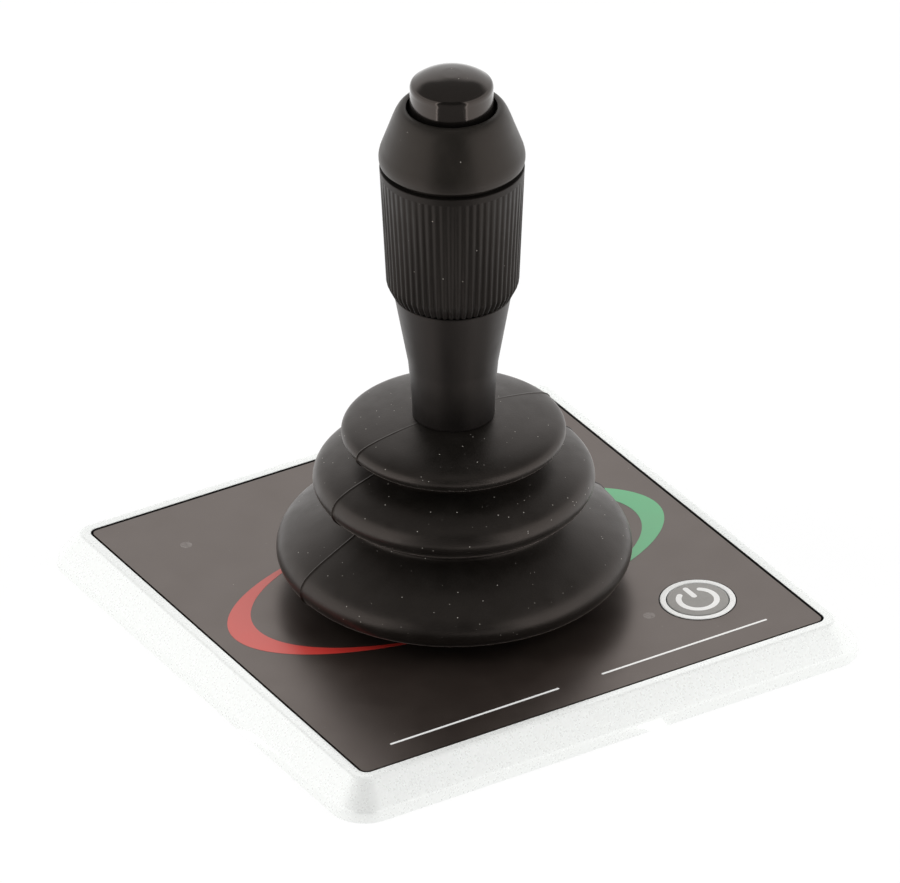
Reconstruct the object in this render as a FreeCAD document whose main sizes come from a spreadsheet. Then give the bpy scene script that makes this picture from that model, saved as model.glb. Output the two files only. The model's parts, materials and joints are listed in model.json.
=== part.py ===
import FreeCAD, Part
import math
import os
from types import SimpleNamespace

import Sketcher

# Flush-mounted two-axis joystick control panel with a twist grip, a thumb button and a power key.
# Frame: millimetres, +Z up and out of the console, +X to the right along the panel's front edge,
# +Y away from the operator. The origin is the middle of the console cut-out, on the console surface.

doc = FreeCAD.newDocument("JoystickPanel")
sheet = doc.addObject("Spreadsheet::Sheet", "Sizes")

# Driving dimensions: alias, value in millimetres (or degrees, or a count), meaning.
SIZES = [
    ("bezel_size", 85.0, "outer side of the square bezel"),
    ("bezel_corner", 5.3, "plan radius of the bezel's outer corners"),
    ("bezel_height", 5.2, "top of the bezel rim above the console"),
    ("band_height", 1.6, "upright band round the bezel's foot"),
    ("band_draft", 0.3, "how far the band leans in over its height"),
    ("rim_width", 1.45, "flat rim round the bezel's window"),
    ("rim_corner", 2.4, "plan radius of the rim's outer corners"),
    ("bezel_wall", 2.5, "bezel wall at its foot"),
    ("bezel_lid", 1.6, "thickness of the bezel above the chassis"),
    ("snap_reach", 0.4, "how far each snap nose stands in from the bezel wall"),
    ("snap_height", 0.4, "height of a snap nose"),
    ("snap_length", 12.0, "length of a snap nose"),
    ("frame_width", 4.75, "plan width of the bezel from its outer side to its window"),
    ("overlay_corner", 1.0, "corner radius of the overlay"),
    ("overlay_thick", 0.5, "thickness of the overlay film"),
    ("window_gap", 0.3, "gap between the overlay and the bezel"),
    ("membrane_inset", 1.45, "edge of the membrane circuit inside the overlay's edge"),
    ("membrane_thick", 0.4, "thickness of the membrane circuit"),
    ("gasket_thick", 1.0, "thickness of the flange gasket"),
    ("gasket_inset", 0.7, "edge of the flange gasket inside the chassis's edge"),
    ("gasket_room", 1.5, "gap between the rear housing and the gasket, the console cut-out"),
    ("chassis_thick", 2.4, "thickness of the chassis flange"),
    ("chassis_fit", 0.2, "side clearance of the chassis in the bezel"),
    ("chassis_corner", 3.0, "corner radius of the chassis"),
    ("land_height", 0.8, "raised land that carries the membrane and the overlay"),
    ("tail_slot_length", 14.0, "slot for the membrane's tail"),
    ("tail_slot_width", 1.2, "width of the tail slot"),
    ("tail_slot_gap", 0.3, "gap between the gimbal housing's flange and the tail slot"),
    ("tail_thick", 0.3, "thickness of the membrane's tail"),
    ("tail_fit", 0.3, "gap between the tail and its slot"),
    ("stud_inset", 6.8, "mounting studs inside the chassis's edge"),
    ("stud_radius", 2.0, "radius of a mounting stud"),
    ("stud_reach", 22.0, "length of a stud below the console"),
    ("stud_seat", 2.0, "depth of a stud in the chassis"),
    ("stud_chamfer", 0.5, "lead-in at a stud's tip"),
    ("stud_collar", 3.0, "radius of a stud's collar in the chassis and the gasket"),
    ("stud_clearance", 0.3, "gap round a stud's collar in the gasket"),
    ("key_inset_x", 12.05, "power key, distance from the overlay's right edge"),
    ("key_inset_y", 13.75, "power key, distance from the overlay's front edge"),
    ("key_radius", 4.35, "radius of the power key's face"),
    ("key_gap", 0.12, "running gap round the power key"),
    ("key_proud", 0.12, "power key and ring above the overlay"),
    ("key_travel", 0.4, "travel of the power key"),
    ("key_flange_extra", 0.6, "flange round the key under the ring"),
    ("key_flange_thick", 0.4, "thickness of that flange"),
    ("halo_radius", 5.33, "outer radius of the ring round the key"),
    ("key_pocket_depth", 1.8, "floor of the key pocket below the land, less the flange's room"),
    ("switch_side", 4.5, "side of a small push switch"),
    ("switch_height", 1.1, "height of the power key's switch"),
    ("plunger_radius", 0.8, "radius of the plunger under the power key"),
    ("plunger_gap", 0.15, "gap round a plunger and below it at full travel"),
    ("light_a_inset_x", 9.65, "upper status light, distance from the overlay's left edge"),
    ("light_a_inset_y", 10.25, "upper status light, distance from the overlay's rear edge"),
    ("light_b_inset_x", 20.05, "lower status light, distance from the overlay's right edge"),
    ("light_b_inset_y", 13.85, "lower status light, distance from the overlay's front edge"),
    ("light_radius", 0.85, "radius of a status light window"),
    ("led_height", 0.6, "height of a status light emitting diode"),
    ("led_side", 1.2, "side of a status light emitting diode"),
    ("led_room", 0.3, "room round a diode in its pocket"),
    ("boot_wall", 1.0, "thickness of the rubber boot"),
    ("boot_neck", 17.0, "outer radius of the boot where it passes the panel"),
    ("boot_fit", 0.3, "gap round the boot's neck in the panel"),
    ("boot_flange_reach", 2.6, "clamped flange of the boot beyond its neck"),
    ("boot_flange_thick", 1.2, "thickness of that flange"),
    ("boot_lip_rise", 1.1, "height above the panel where the lowest tier starts to flare"),
    ("tier_a_radius", 25.0, "widest radius of the lowest tier"),
    ("tier_a_height", 5.4, "height of that widest ring above the panel"),
    ("tier_a_lip", 4.6, "height of the rounded lip of the lowest tier"),
    ("tier_b_radius", 19.75, "widest radius of the middle tier"),
    ("tier_b_height", 16.2, "height of that widest ring above the panel"),
    ("tier_b_lip", 4.2, "height of the rounded lip of the middle tier"),
    ("tier_c_radius", 15.7, "widest radius of the top tier"),
    ("tier_c_height", 23.4, "height of that widest ring above the panel"),
    ("tier_c_lip", 3.2, "height of the rounded lip of the top tier"),
    ("lip_bulge", 1.45, "how far a tier's lip swells out"),
    ("valley_ab_radius", 15.6, "radius of the fold between lowest and middle tier"),
    ("valley_ab_height", 11.8, "height of that fold above the panel"),
    ("valley_bc_radius", 12.1, "radius of the fold between middle and top tier"),
    ("valley_bc_height", 20.9, "height of that fold above the panel"),
    ("tier_crown", 0.5, "swell of each tier's upper face"),
    ("collar_radius", 6.3, "outer radius of the boot's collar on the stem"),
    ("collar_low", 26.7, "foot of the collar above the panel"),
    ("collar_height", 1.5, "height of the collar"),
    ("collar_fit", 0.1, "gap between collar and stem"),
    ("clamp_ring_thick", 1.2, "thickness of the boot clamp ring"),
    ("clamp_ring_inner", 16.6, "inner radius of the boot clamp ring"),
    ("flange_margin", 0.6, "flange of the gimbal housing and the clamp ring beyond the screw heads"),
    ("housing_flange_thick", 2.0, "thickness of the gimbal housing's flange"),
    ("housing_inner", 13.5, "inner radius of the gimbal housing"),
    ("housing_wall", 2.5, "wall of the gimbal housing"),
    ("housing_depth", 20.0, "underside of the gimbal housing below the console"),
    ("housing_floor", 1.8, "floor of the gimbal housing"),
    ("housing_floor_hole", 10.4, "radius of the hole in that floor"),
    ("pivot_depth", 6.0, "gimbal centre below the console"),
    ("pin_radius", 1.25, "radius of the gimbal pins"),
    ("pin_fit", 0.03, "running clearance of the gimbal pins"),
    ("outer_pin_gap", 0.6, "how far an outer pin stops short of the ring's bore"),
    ("ring_inner", 7.6, "inner radius of the gimbal ring"),
    ("ring_outer", 11.0, "outer radius of the gimbal ring"),
    ("ring_height", 5.0, "height of the gimbal ring"),
    ("hub_radius", 5.6, "radius of the lever hub"),
    ("hub_top_radius", 4.6, "radius of the hub's top"),
    ("hub_rise", 3.0, "top of the hub above the console"),
    ("hub_shoulder", 1.0, "depth of the hub's shoulder below the console"),
    ("hub_drop", 4.0, "foot of the hub below the gimbal centre"),
    ("hub_socket", 3.8, "depth of the shaft's end below the console"),
    ("tail_radius", 2.2, "radius of the lever's tail"),
    ("holder_grip", 1.5, "length of the lever's tail in the magnet holder"),
    ("magnet_holder_radius", 2.9, "radius of the magnet holder"),
    ("holder_gap", 1.5, "gap between the gimbal housing and the magnet holder"),
    ("magnet_thick", 2.0, "thickness of the tilt magnet"),
    ("magnet_radius", 2.0, "radius of the tilt magnet"),
    ("seat_inner", 8.8, "inner radius of the spring seat"),
    ("seat_thick", 1.2, "thickness of the spring seat"),
    ("seat_fit", 0.3, "gap round the spring seat"),
    ("spring_wire", 0.35, "wire radius of the centring spring"),
    ("spring_top_radius", 4.7, "mean radius of the centring spring's top turn"),
    ("spring_foot_radius", 10.6, "mean radius of the centring spring's foot turn"),
    ("spring_turns", 4.0, "turns of the centring spring"),
    ("shaft_radius", 3.0, "outer radius of the hollow lever shaft"),
    ("shaft_bore", 1.6, "bore radius of the lever shaft"),
    ("stem_hidden", 1.4, "length of the stem's foot below the boot's collar"),
    ("stem_foot_radius", 4.9, "radius of the stem's foot"),
    ("stem_top_radius", 8.35, "radius of the stem's top"),
    ("stem_length", 20.8, "length of the tapered stem from its foot to the ribbed sleeve"),
    ("grip_gap", 0.3, "running gap between stem and sleeve"),
    ("grip_chamfer_reach", 0.85, "how far the sleeve's foot chamfer reaches out"),
    ("grip_flare", 0.8, "growth of the sleeve's radius from its chamfer to its top"),
    ("grip_chamfer", 1.7, "height of the sleeve's foot chamfer"),
    ("bearing_inset", 1.9, "bearing faces inside the sleeve's foot radius"),
    ("grip_length", 19.7, "length of the ribbed sleeve"),
    ("grip_band", 1.0, "smooth band at the sleeve's top"),
    ("rib_count", 60.0, "number of ribs round the sleeve"),
    ("rib_depth", 0.32, "depth of the grooves between ribs"),
    ("rib_groove", 0.5, "width of a groove between ribs"),
    ("spigot_fit", 0.05, "running clearance of the sleeve on them"),
    ("spigot_height", 5.0, "height of the stem's spigot in the sleeve"),
    ("bush_drop", 5.4, "foot of the upper bush below the cap's plug"),
    ("bush_height", 4.0, "height of the upper bush"),
    ("inner_lip_radius", 5.6, "radius of the sleeve's inner lip"),
    ("inner_lip_gap", 0.3, "gap between the inner lip and the bearings"),
    ("clip_thick", 0.8, "thickness of the retaining ring"),
    ("clip_radius", 4.8, "outer radius of the retaining ring"),
    ("torsion_radius", 4.4, "mean radius of the twist spring"),
    ("torsion_wire", 0.35, "wire radius of the twist spring"),
    ("torsion_turns", 4.0, "turns of the twist spring"),
    ("cap_plug_inset", 2.0, "cap's plug inside the sleeve's top radius"),
    ("cap_plug_depth", 4.5, "depth of the cap's plug in the sleeve"),
    ("cap_groove", 0.9, "height of the groove between sleeve and cap"),
    ("cap_groove_inset", 0.9, "foot of the cap's groove inside the sleeve's top radius"),
    ("cap_overhang", 0.2, "widest radius of the cap beyond the sleeve's top radius"),
    ("cap_edge", 0.9, "height of the cap's widest band"),
    ("cap_shoulder_inset", 1.2, "cap's turn inside its widest radius"),
    ("cap_shoulder_rise", 3.9, "height of that turn above the cap's foot"),
    ("cap_brow_reach", 1.05, "cap's brow beyond its mouth"),
    ("cap_brow_rise", 7.5, "height of that brow above the cap's foot"),
    ("mouth_gap", 0.45, "gap between the cap's mouth and the button"),
    ("cap_edge_swell", 0.25, "swell of the cap from its widest band to its turn"),
    ("cap_brow_swell", 0.12, "swell of the cap from its brow to its mouth"),
    ("cap_height", 8.4, "mouth of the cap above its foot"),
    ("cap_lip", 2.1, "thickness of the cap's lip at the mouth"),
    ("cap_wall", 1.0, "wall of the cap's plug"),
    ("button_lean", 0.22, "how far the button leans in up to its dome"),
    ("button_skirt_radius", 5.85, "radius of the button at the cap's mouth"),
    ("button_edge_rise", 3.2, "edge of the button's dome above the cap's mouth"),
    ("button_bevel", 0.4, "bevel round the button's dome"),
    ("button_height", 5.6, "crown of the button above the cap's mouth"),
    ("button_flange_gap", 0.25, "gap between the button's flange and the cap's bore"),
    ("button_flange_thick", 1.2, "thickness of that flange"),
    ("button_travel", 1.5, "travel of the thumb button"),
    ("button_clear", 0.2, "gap between the button's flange and the cap's lip"),
    ("button_cavity", 4.6, "radius of the hollow under the button"),
    ("button_crown_wall", 2.6, "thickness of the button under its crown"),
    ("button_pin_radius", 1.2, "radius of the button's pin"),
    ("retainer_thick", 1.3, "thickness of the button retainer"),
    ("retainer_hole", 4.7, "radius of the retainer's hole"),
    ("retainer_drop", 0.5, "room under the pressed button's flange"),
    ("top_switch_height", 3.4, "height of the thumb switch on the shaft"),
    ("top_switch_side", 6.0, "side of the thumb switch"),
    ("button_spring_radius", 3.9, "mean radius of the button spring"),
    ("button_spring_wire", 0.25, "wire radius of the button spring"),
    ("button_spring_turns", 4.0, "turns of the button spring"),
    ("shaft_drop", 0.9, "top of the lever shaft below the sleeve's top"),
    ("twist_ring_inner", 5.2, "inner radius of the twist magnet ring"),
    ("twist_ring_height", 2.2, "height of the twist magnet ring"),
    ("twist_ring_rise", 0.4, "twist magnet ring above the cap plug's foot"),
    ("sensor_thick", 1.0, "thickness of a magnetic sensor"),
    ("sensor_side", 3.2, "side of the twist sensor"),
    ("board_fit", 0.3, "gap between the circuit board and the rear housing"),
    ("board_thick", 1.6, "thickness of the circuit board"),
    ("sensor_gap", 0.4, "gap between the tilt magnet and its sensor"),
    ("board_notch_gap", 0.3, "gap round a boss at the board's corners"),
    ("tilt_sensor_side", 5.0, "side of the tilt sensor"),
    ("controller_side", 9.0, "side of the controller chip"),
    ("controller_height", 1.4, "height of the controller chip"),
    ("controller_x", -15.0, "controller chip, distance right of the middle"),
    ("controller_y", 8.0, "controller chip, distance behind the middle"),
    ("transceiver_side", 4.5, "side of the transceiver chip"),
    ("transceiver_height", 1.5, "height of the transceiver chip"),
    ("transceiver_x", -14.0, "transceiver chip, distance right of the middle"),
    ("transceiver_y", -6.0, "transceiver chip, distance behind the middle"),
    ("regulator_side", 6.2, "side of the regulator"),
    ("regulator_height", 2.3, "height of the regulator"),
    ("regulator_x", 14.0, "regulator, distance right of the middle"),
    ("regulator_y", -9.0, "regulator, distance behind the middle"),
    ("inductor_side", 6.0, "side of the inductor"),
    ("inductor_height", 3.0, "height of the inductor"),
    ("inductor_x", 14.0, "inductor, distance right of the middle"),
    ("inductor_y", 2.0, "inductor, distance behind the middle"),
    ("connector_width", 15.0, "width of the tail's connector"),
    ("connector_depth", 2.2, "depth of the tail's connector"),
    ("connector_height", 2.5, "height of the tail's connector"),
    ("case_room", 1.6, "gap between the gimbal housing's flange and the rear housing"),
    ("case_corner", 5.0, "corner radius of the rear housing"),
    ("case_wall", 2.0, "wall and floor of the rear housing"),
    ("board_room", 2.4, "gap between the circuit board and the sockets"),
    ("boss_inset", 5.2, "screw bosses inside the rear housing's outer side"),
    ("boss_radius", 3.0, "radius of a screw boss"),
    ("boss_step", 1.2, "extra radius of a boss below the board"),
    ("chassis_boss_drop", 8.0, "foot of the chassis bosses below the console"),
    ("case_screw_radius", 1.5, "radius of a rear screw"),
    ("case_screw_head", 2.8, "head radius of a rear screw"),
    ("case_screw_head_height", 1.4, "head height of a rear screw"),
    ("screw_bite", 2.0, "depth of a gimbal screw in the chassis"),
    ("case_screw_bite", 7.0, "depth of a rear screw in its chassis boss"),
    ("screw_fit", 0.2, "clearance round a screw in a part it passes"),
    ("gimbal_screw_radius", 1.0, "radius of a gimbal screw"),
    ("gimbal_screw_head", 1.8, "head radius of a gimbal screw"),
    ("gimbal_screw_head_height", 1.3, "head height of a gimbal screw"),
    ("screw_margin", 1.4, "gap between the boot's flange and the gimbal screws"),
    ("board_post_radius", 2.6, "radius of a board post"),
    ("post_inset_x", 11.7, "board posts inside the board's side edges"),
    ("post_inset_y", 3.7, "board posts inside the board's front and rear edges"),
    ("board_screw_radius", 1.0, "radius of a board screw"),
    ("board_screw_length", 4.0, "length of a board screw in its post"),
    ("socket_place", 13.0, "distance of each socket from the middle"),
    ("socket_radius", 6.0, "thread radius of a socket"),
    ("socket_barrel", 8.0, "length of a socket's barrel outside its flange"),
    ("socket_flange", 8.0, "radius of a socket's flange"),
    ("socket_flange_thick", 1.5, "thickness of a socket's flange"),
    ("socket_inner_reach", 3.6, "length of a socket inside the housing's floor"),
    ("socket_nut_height", 2.4, "height of a socket's nut"),
    ("contact_radius", 0.5, "radius of a contact hole"),
    ("contact_circle", 2.4, "radius of the circle of contacts"),
    ("contact_depth", 5.0, "depth of a contact hole"),
]


class Size:
    """A length together with the sheet expression that gives it."""

    def __init__(self, value, text):
        self.value = value
        self.text = text

    def __add__(self, other):
        return combined(self, other, "+", number(self) + number(other))

    def __radd__(self, other):
        return combined(other, self, "+", number(other) + number(self))

    def __sub__(self, other):
        return combined(self, other, "-", number(self) - number(other))

    def __rsub__(self, other):
        return combined(other, self, "-", number(other) - number(self))

    def __mul__(self, other):
        return combined(self, other, "*", number(self) * number(other))

    def __rmul__(self, other):
        return combined(other, self, "*", number(other) * number(self))

    def __truediv__(self, other):
        return combined(self, other, "/", number(self) / number(other))

    def __neg__(self):
        return Size(-self.value, f"(0 - {self.text})")


def number(quantity):
    return quantity.value if isinstance(quantity, Size) else float(quantity)


def words(quantity):
    return quantity.text if isinstance(quantity, Size) else f"({float(quantity)!r})"


def combined(left, right, sign, value):
    return Size(value, f"({words(left)} {sign} {words(right)})")


def root(square):
    return Size(math.sqrt(number(square)), f"sqrt({words(square)})")


def ball_swell(radius, rise):
    """Swell of the arc from a rim to the crown of a round dome whose ball centre is on the axis."""
    chord_squared = radius * radius + rise * rise
    ball = chord_squared / (rise * 2)
    return ball - root(ball * ball - chord_squared / 4)


def cone_angle(rise, run):
    """Angle in degrees whose tangent is rise over run."""
    value = math.degrees(math.atan2(number(rise), number(run)))
    return Size(value, f"atan({words(rise)} / {words(run)}) / 1 deg")


def fill_sheet():
    sizes = {}
    for row, (alias, value, meaning) in enumerate(SIZES, start=1):
        sheet.set(f"A{row}", meaning)
        sheet.set(f"B{row}", str(value))
        sheet.setAlias(f"B{row}", alias)
        sizes[alias] = Size(value, f"Sizes.{alias}")
    doc.recompute()
    return SimpleNamespace(**sizes)


d = fill_sheet()


# Levels and places worked out from the driving dimensions

chassis_low = d.gasket_thick
flange_top = chassis_low + d.chassis_thick
land_top = flange_top + d.land_height
membrane_top = land_top + d.membrane_thick
panel_top = membrane_top + d.overlay_thick
bezel_half = d.bezel_size / 2
window_half = bezel_half - d.frame_width
overlay_half = window_half - d.window_gap
bezel_inner_half = bezel_half - d.bezel_wall
bezel_pocket_top = d.bezel_height - d.bezel_lid
chassis_half = bezel_inner_half - d.chassis_fit
stud_place = chassis_half - d.stud_inset
pivot_z = -d.pivot_depth

key_x = overlay_half - d.key_inset_x
key_y = overlay_half - d.key_inset_y
key_top = panel_top + d.key_proud
key_flange_top = land_top
key_floor = land_top - d.key_flange_thick - d.key_pocket_depth

mouth_radius = d.boot_neck + d.boot_fit
boot_flange = d.boot_neck + d.boot_flange_reach
boot_flange_low = chassis_low - d.boot_flange_thick
gimbal_screw_place = boot_flange + d.screw_margin + d.gimbal_screw_radius
housing_flange = gimbal_screw_place + d.gimbal_screw_head + d.flange_margin
clamp_low = boot_flange_low - d.clamp_ring_thick
housing_flange_low = clamp_low - d.housing_flange_thick
screw_top = chassis_low + d.screw_bite
tail_slot_place = housing_flange + d.tail_slot_gap

stem_foot_rise = panel_top + d.collar_low - d.stem_hidden
grip_foot_rise = stem_foot_rise + d.stem_length
grip_top_rise = grip_foot_rise + d.grip_length
grip_foot_radius = d.stem_top_radius
grip_low_radius = grip_foot_radius + d.grip_chamfer_reach
grip_top_radius = grip_low_radius + d.grip_flare
spigot_radius = grip_foot_radius - d.bearing_inset
shaft_top = grip_top_rise - d.shaft_drop
plug_foot = grip_top_rise - d.cap_plug_depth
bush_low = plug_foot - d.bush_drop
cap_plug_radius = grip_top_radius - d.cap_plug_inset
cap_groove_radius = grip_top_radius - d.cap_groove_inset
cap_radius = grip_top_radius + d.cap_overhang
cap_shoulder_radius = cap_radius - d.cap_shoulder_inset
cap_bore = cap_plug_radius - d.cap_wall
cap_mouth = d.button_skirt_radius + d.mouth_gap
cap_brow_radius = cap_mouth + d.cap_brow_reach
cap_foot = grip_top_rise + d.cap_groove
cap_mouth_z = cap_foot + d.cap_height
lip_low = cap_mouth_z - d.cap_lip
button_radius = d.button_skirt_radius - d.button_lean
button_flange = cap_bore - d.button_flange_gap
button_flange_top = lip_low - d.button_clear
button_foot = button_flange_top - d.button_flange_thick
retainer_top = button_foot - d.button_travel - d.retainer_drop

magnet_holder_top = d.housing_depth + d.holder_gap
tail_end = magnet_holder_top + d.holder_grip
magnet_holder_end = tail_end + d.magnet_thick
board_depth = magnet_holder_end + d.sensor_gap + d.sensor_thick + d.board_thick
board_low = -board_depth
board_top = board_low + d.board_thick
case_depth = board_depth + d.board_room + d.socket_inner_reach + d.case_wall
case_low = -case_depth
case_floor_top = case_low + d.case_wall
case_half = housing_flange + d.case_room + d.case_wall
board_half = case_half - d.case_wall - d.board_fit
boss_place = case_half - d.boss_inset
chassis_boss_low = -d.chassis_boss_drop
case_screw_top = chassis_boss_low + d.case_screw_bite


# Small building functions

def bind(thing, prop, quantity):
    """Set a property from a plain number, or bind it to the sheet."""
    if isinstance(quantity, Size):
        thing.setExpression(prop, quantity.text)
    elif prop.startswith("Placement.Base."):
        setattr(thing.Placement.Base, prop[-1], float(quantity))
    else:
        setattr(thing, prop, quantity)


TURNS = {
    "Z": FreeCAD.Rotation(),
    "X": FreeCAD.Rotation(FreeCAD.Vector(0, 1, 0), 90),
    "Y": FreeCAD.Rotation(FreeCAD.Vector(1, 0, 0), -90),
    "down": FreeCAD.Rotation(FreeCAD.Vector(1, 0, 0), 180),
}


def place(thing, at, axis="Z"):
    start = FreeCAD.Vector(*[number(part) for part in at])
    thing.Placement = FreeCAD.Placement(start, TURNS[axis])
    for letter, part in zip("xyz", at):
        if isinstance(part, Size):
            thing.setExpression(f"Placement.Base.{letter}", part.text)
    return thing


def cylinder(name, radius, height, at=(0, 0, 0), axis="Z"):
    thing = doc.addObject("Part::Cylinder", name)
    bind(thing, "Radius", radius)
    bind(thing, "Height", height)
    return place(thing, at, axis)


def cone(name, low_radius, top_radius, height, at=(0, 0, 0), axis="Z"):
    thing = doc.addObject("Part::Cone", name)
    bind(thing, "Radius1", low_radius)
    bind(thing, "Radius2", top_radius)
    bind(thing, "Height", height)
    return place(thing, at, axis)


def block(name, width, depth, height, middle, low):
    """A box given by its middle in plan and its lowest level."""
    thing = doc.addObject("Part::Box", name)
    bind(thing, "Length", width)
    bind(thing, "Width", depth)
    bind(thing, "Height", height)
    return place(thing, (middle[0] - width / 2, middle[1] - depth / 2, low))


def hexagon(name, radius, height, at=(0, 0, 0)):
    thing = doc.addObject("Part::Prism", name)
    thing.Polygon = 6
    bind(thing, "Circumradius", radius)
    bind(thing, "Height", height)
    return place(thing, at)


def cut(name, base, tool):
    thing = doc.addObject("Part::Cut", name)
    thing.Base = base
    thing.Tool = tool
    return thing


def fuse(name, shapes):
    thing = doc.addObject("Part::MultiFuse", name)
    thing.Shapes = shapes
    thing.Refine = True
    return thing


def group(name, members):
    thing = doc.addObject("Part::Compound", name)
    thing.Links = members
    return thing


def corners(away):
    return [(away, away), (-away, away), (-away, -away), (away, -away)]


def new_body(name):
    return doc.addObject("PartDesign::Body", name)


def origin_plane(body, role):
    return next(feature for feature in body.Origin.OriginFeatures if feature.Role == role)


def new_sketch(body, name, role="XY_Plane", height=0.0):
    sketch = body.newObject("Sketcher::SketchObject", name)
    sketch.AttachmentSupport = [(origin_plane(body, role), "")]
    sketch.MapMode = "FlatFace"
    sketch.AttachmentOffset = FreeCAD.Placement(FreeCAD.Vector(0, 0, number(height)), FreeCAD.Rotation())
    if isinstance(height, Size):
        sketch.setExpression("AttachmentOffset.Base.z", height.text)
    return sketch


def pin_point(sketch, geometry, position, x, y):
    """Tie one point of a sketch to its place."""
    for kind, value, axis_line in (("DistanceX", x, -2), ("DistanceY", y, -1)):
        if number(value) == 0.0 and not isinstance(value, Size):
            sketch.addConstraint(Sketcher.Constraint("PointOnObject", geometry, position, axis_line))
            continue
        index = sketch.addConstraint(Sketcher.Constraint(kind, -1, 1, geometry, position, number(value)))
        if isinstance(value, Size):
            sketch.setExpression(f"Constraints[{index}]", value.text)


def draw_loop(sketch, points):
    """Closed outline of (x, y) or (x, y, bulge) points.

    A bulge swells the stretch that starts there to the right of the way the outline runs.
    """
    count = len(points)
    places = [FreeCAD.Vector(number(point[0]), number(point[1]), 0) for point in points]
    starts = []
    ends = []
    for i, point in enumerate(points):
        here = places[i]
        there = places[(i + 1) % count]
        if len(point) == 2:
            geometry = sketch.addGeometry(Part.LineSegment(here, there), False)
            starts.append((geometry, 1))
            ends.append((geometry, 2))
            continue
        chord = there - here
        side = FreeCAD.Vector(chord.y, -chord.x, 0).normalize()
        middle = (here + there) * 0.5 + side * number(point[2])
        geometry = sketch.addGeometry(Part.Arc(here, middle, there), False)
        arc_start = sketch.Geometry[geometry].StartPoint
        forward = arc_start.distanceToPoint(here) < arc_start.distanceToPoint(there)
        starts.append((geometry, 1 if forward else 2))
        ends.append((geometry, 2 if forward else 1))
    for i in range(count):
        before = ends[i - 1]
        after = starts[i]
        sketch.addConstraint(Sketcher.Constraint("Coincident", before[0], before[1], after[0], after[1]))
    for i, point in enumerate(points):
        pin_point(sketch, starts[i][0], starts[i][1], point[0], point[1])
    for i, point in enumerate(points):
        if len(point) == 2:
            continue
        onward = points[(i + 1) % count]
        run = onward[0] - point[0]
        rise = onward[1] - point[1]
        radius = arc_radius(run, rise, point[2])
        index = sketch.addConstraint(Sketcher.Constraint("Radius", starts[i][0], number(radius)))
        if isinstance(radius, Size):
            sketch.setExpression(f"Constraints[{index}]", radius.text)


def arc_radius(run, rise, bulge):
    """Radius of an arc from its chord's two sides and its swell, which may be to either side."""
    size = bulge if number(bulge) > 0 else bulge * -1
    chord_squared = run * run + rise * rise
    return (chord_squared / 4 + size * size) / (size * 2)


def draw_circle(sketch, x, y, radius):
    middle = FreeCAD.Vector(number(x), number(y), 0)
    geometry = sketch.addGeometry(Part.Circle(middle, FreeCAD.Vector(0, 0, 1), number(radius)), False)
    pin_point(sketch, geometry, 3, x, y)
    index = sketch.addConstraint(Sketcher.Constraint("Radius", geometry, number(radius)))
    if isinstance(radius, Size):
        sketch.setExpression(f"Constraints[{index}]", radius.text)


CORNER_SWELL = 1 - math.sqrt(0.5)


def rounded_square(half, radius, half_y=None):
    """Outline of a rectangle with round corners, anticlockwise."""
    tall = half if half_y is None else half_y
    swell = radius * CORNER_SWELL
    return [
        (radius - half, -tall),
        (half - radius, -tall, swell),
        (half, radius - tall),
        (half, tall - radius, swell),
        (half - radius, tall),
        (radius - half, tall, swell),
        (-half, tall - radius),
        (-half, radius - tall, swell),
    ]


def pad(body, sketch, length, name):
    feature = body.newObject("PartDesign::Pad", name)
    feature.Profile = sketch
    bind(feature, "Length", length)
    sketch.Visibility = False
    body.Tip = feature
    return feature


def pocket(body, sketch, length, name, upward=True):
    """Cut a sketch's outline out of the body, upward from the sketch unless told otherwise."""
    feature = body.newObject("PartDesign::Pocket", name)
    feature.Profile = sketch
    feature.Reversed = upward
    bind(feature, "Length", length)
    body.Tip = feature
    return feature


def slab(name, outline, low, thick, holes=(), loops=()):
    """A flat piece padded from its outline, with round holes and inner loops."""
    body = new_body(name)
    sketch = new_sketch(body, name + "_outline", "XY_Plane", low)
    draw_loop(sketch, outline)
    for x, y, radius in holes:
        draw_circle(sketch, x, y, radius)
    for loop in loops:
        draw_loop(sketch, loop)
    pad(body, sketch, thick, name + "_pad")
    return body


def turned(name, outline, at=(0, 0, 0)):
    """A piece turned about the vertical axis from its half section of (radius, height) points."""
    body = new_body(name)
    sketch = new_sketch(body, name + "_section", "XZ_Plane")
    draw_loop(sketch, outline)
    feature = body.newObject("PartDesign::Revolution", name + "_turn")
    feature.Profile = sketch
    feature.ReferenceAxis = (sketch, ["V_Axis"])
    feature.Angle = 360
    body.Tip = feature
    return place(body, at)


def washer(name, inner, outer, low, thick):
    return turned(name, [(inner, low), (outer, low), (outer, low + thick), (inner, low + thick)])


def ring_section(inner, outer, low, top):
    return [(inner, low), (outer, low), (outer, top), (inner, top)]


# Turns in each stretch of a spring's line: one long stretch sweeps to a surface that isn't closed
HELIX_SEGMENT = 0.25


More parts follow.
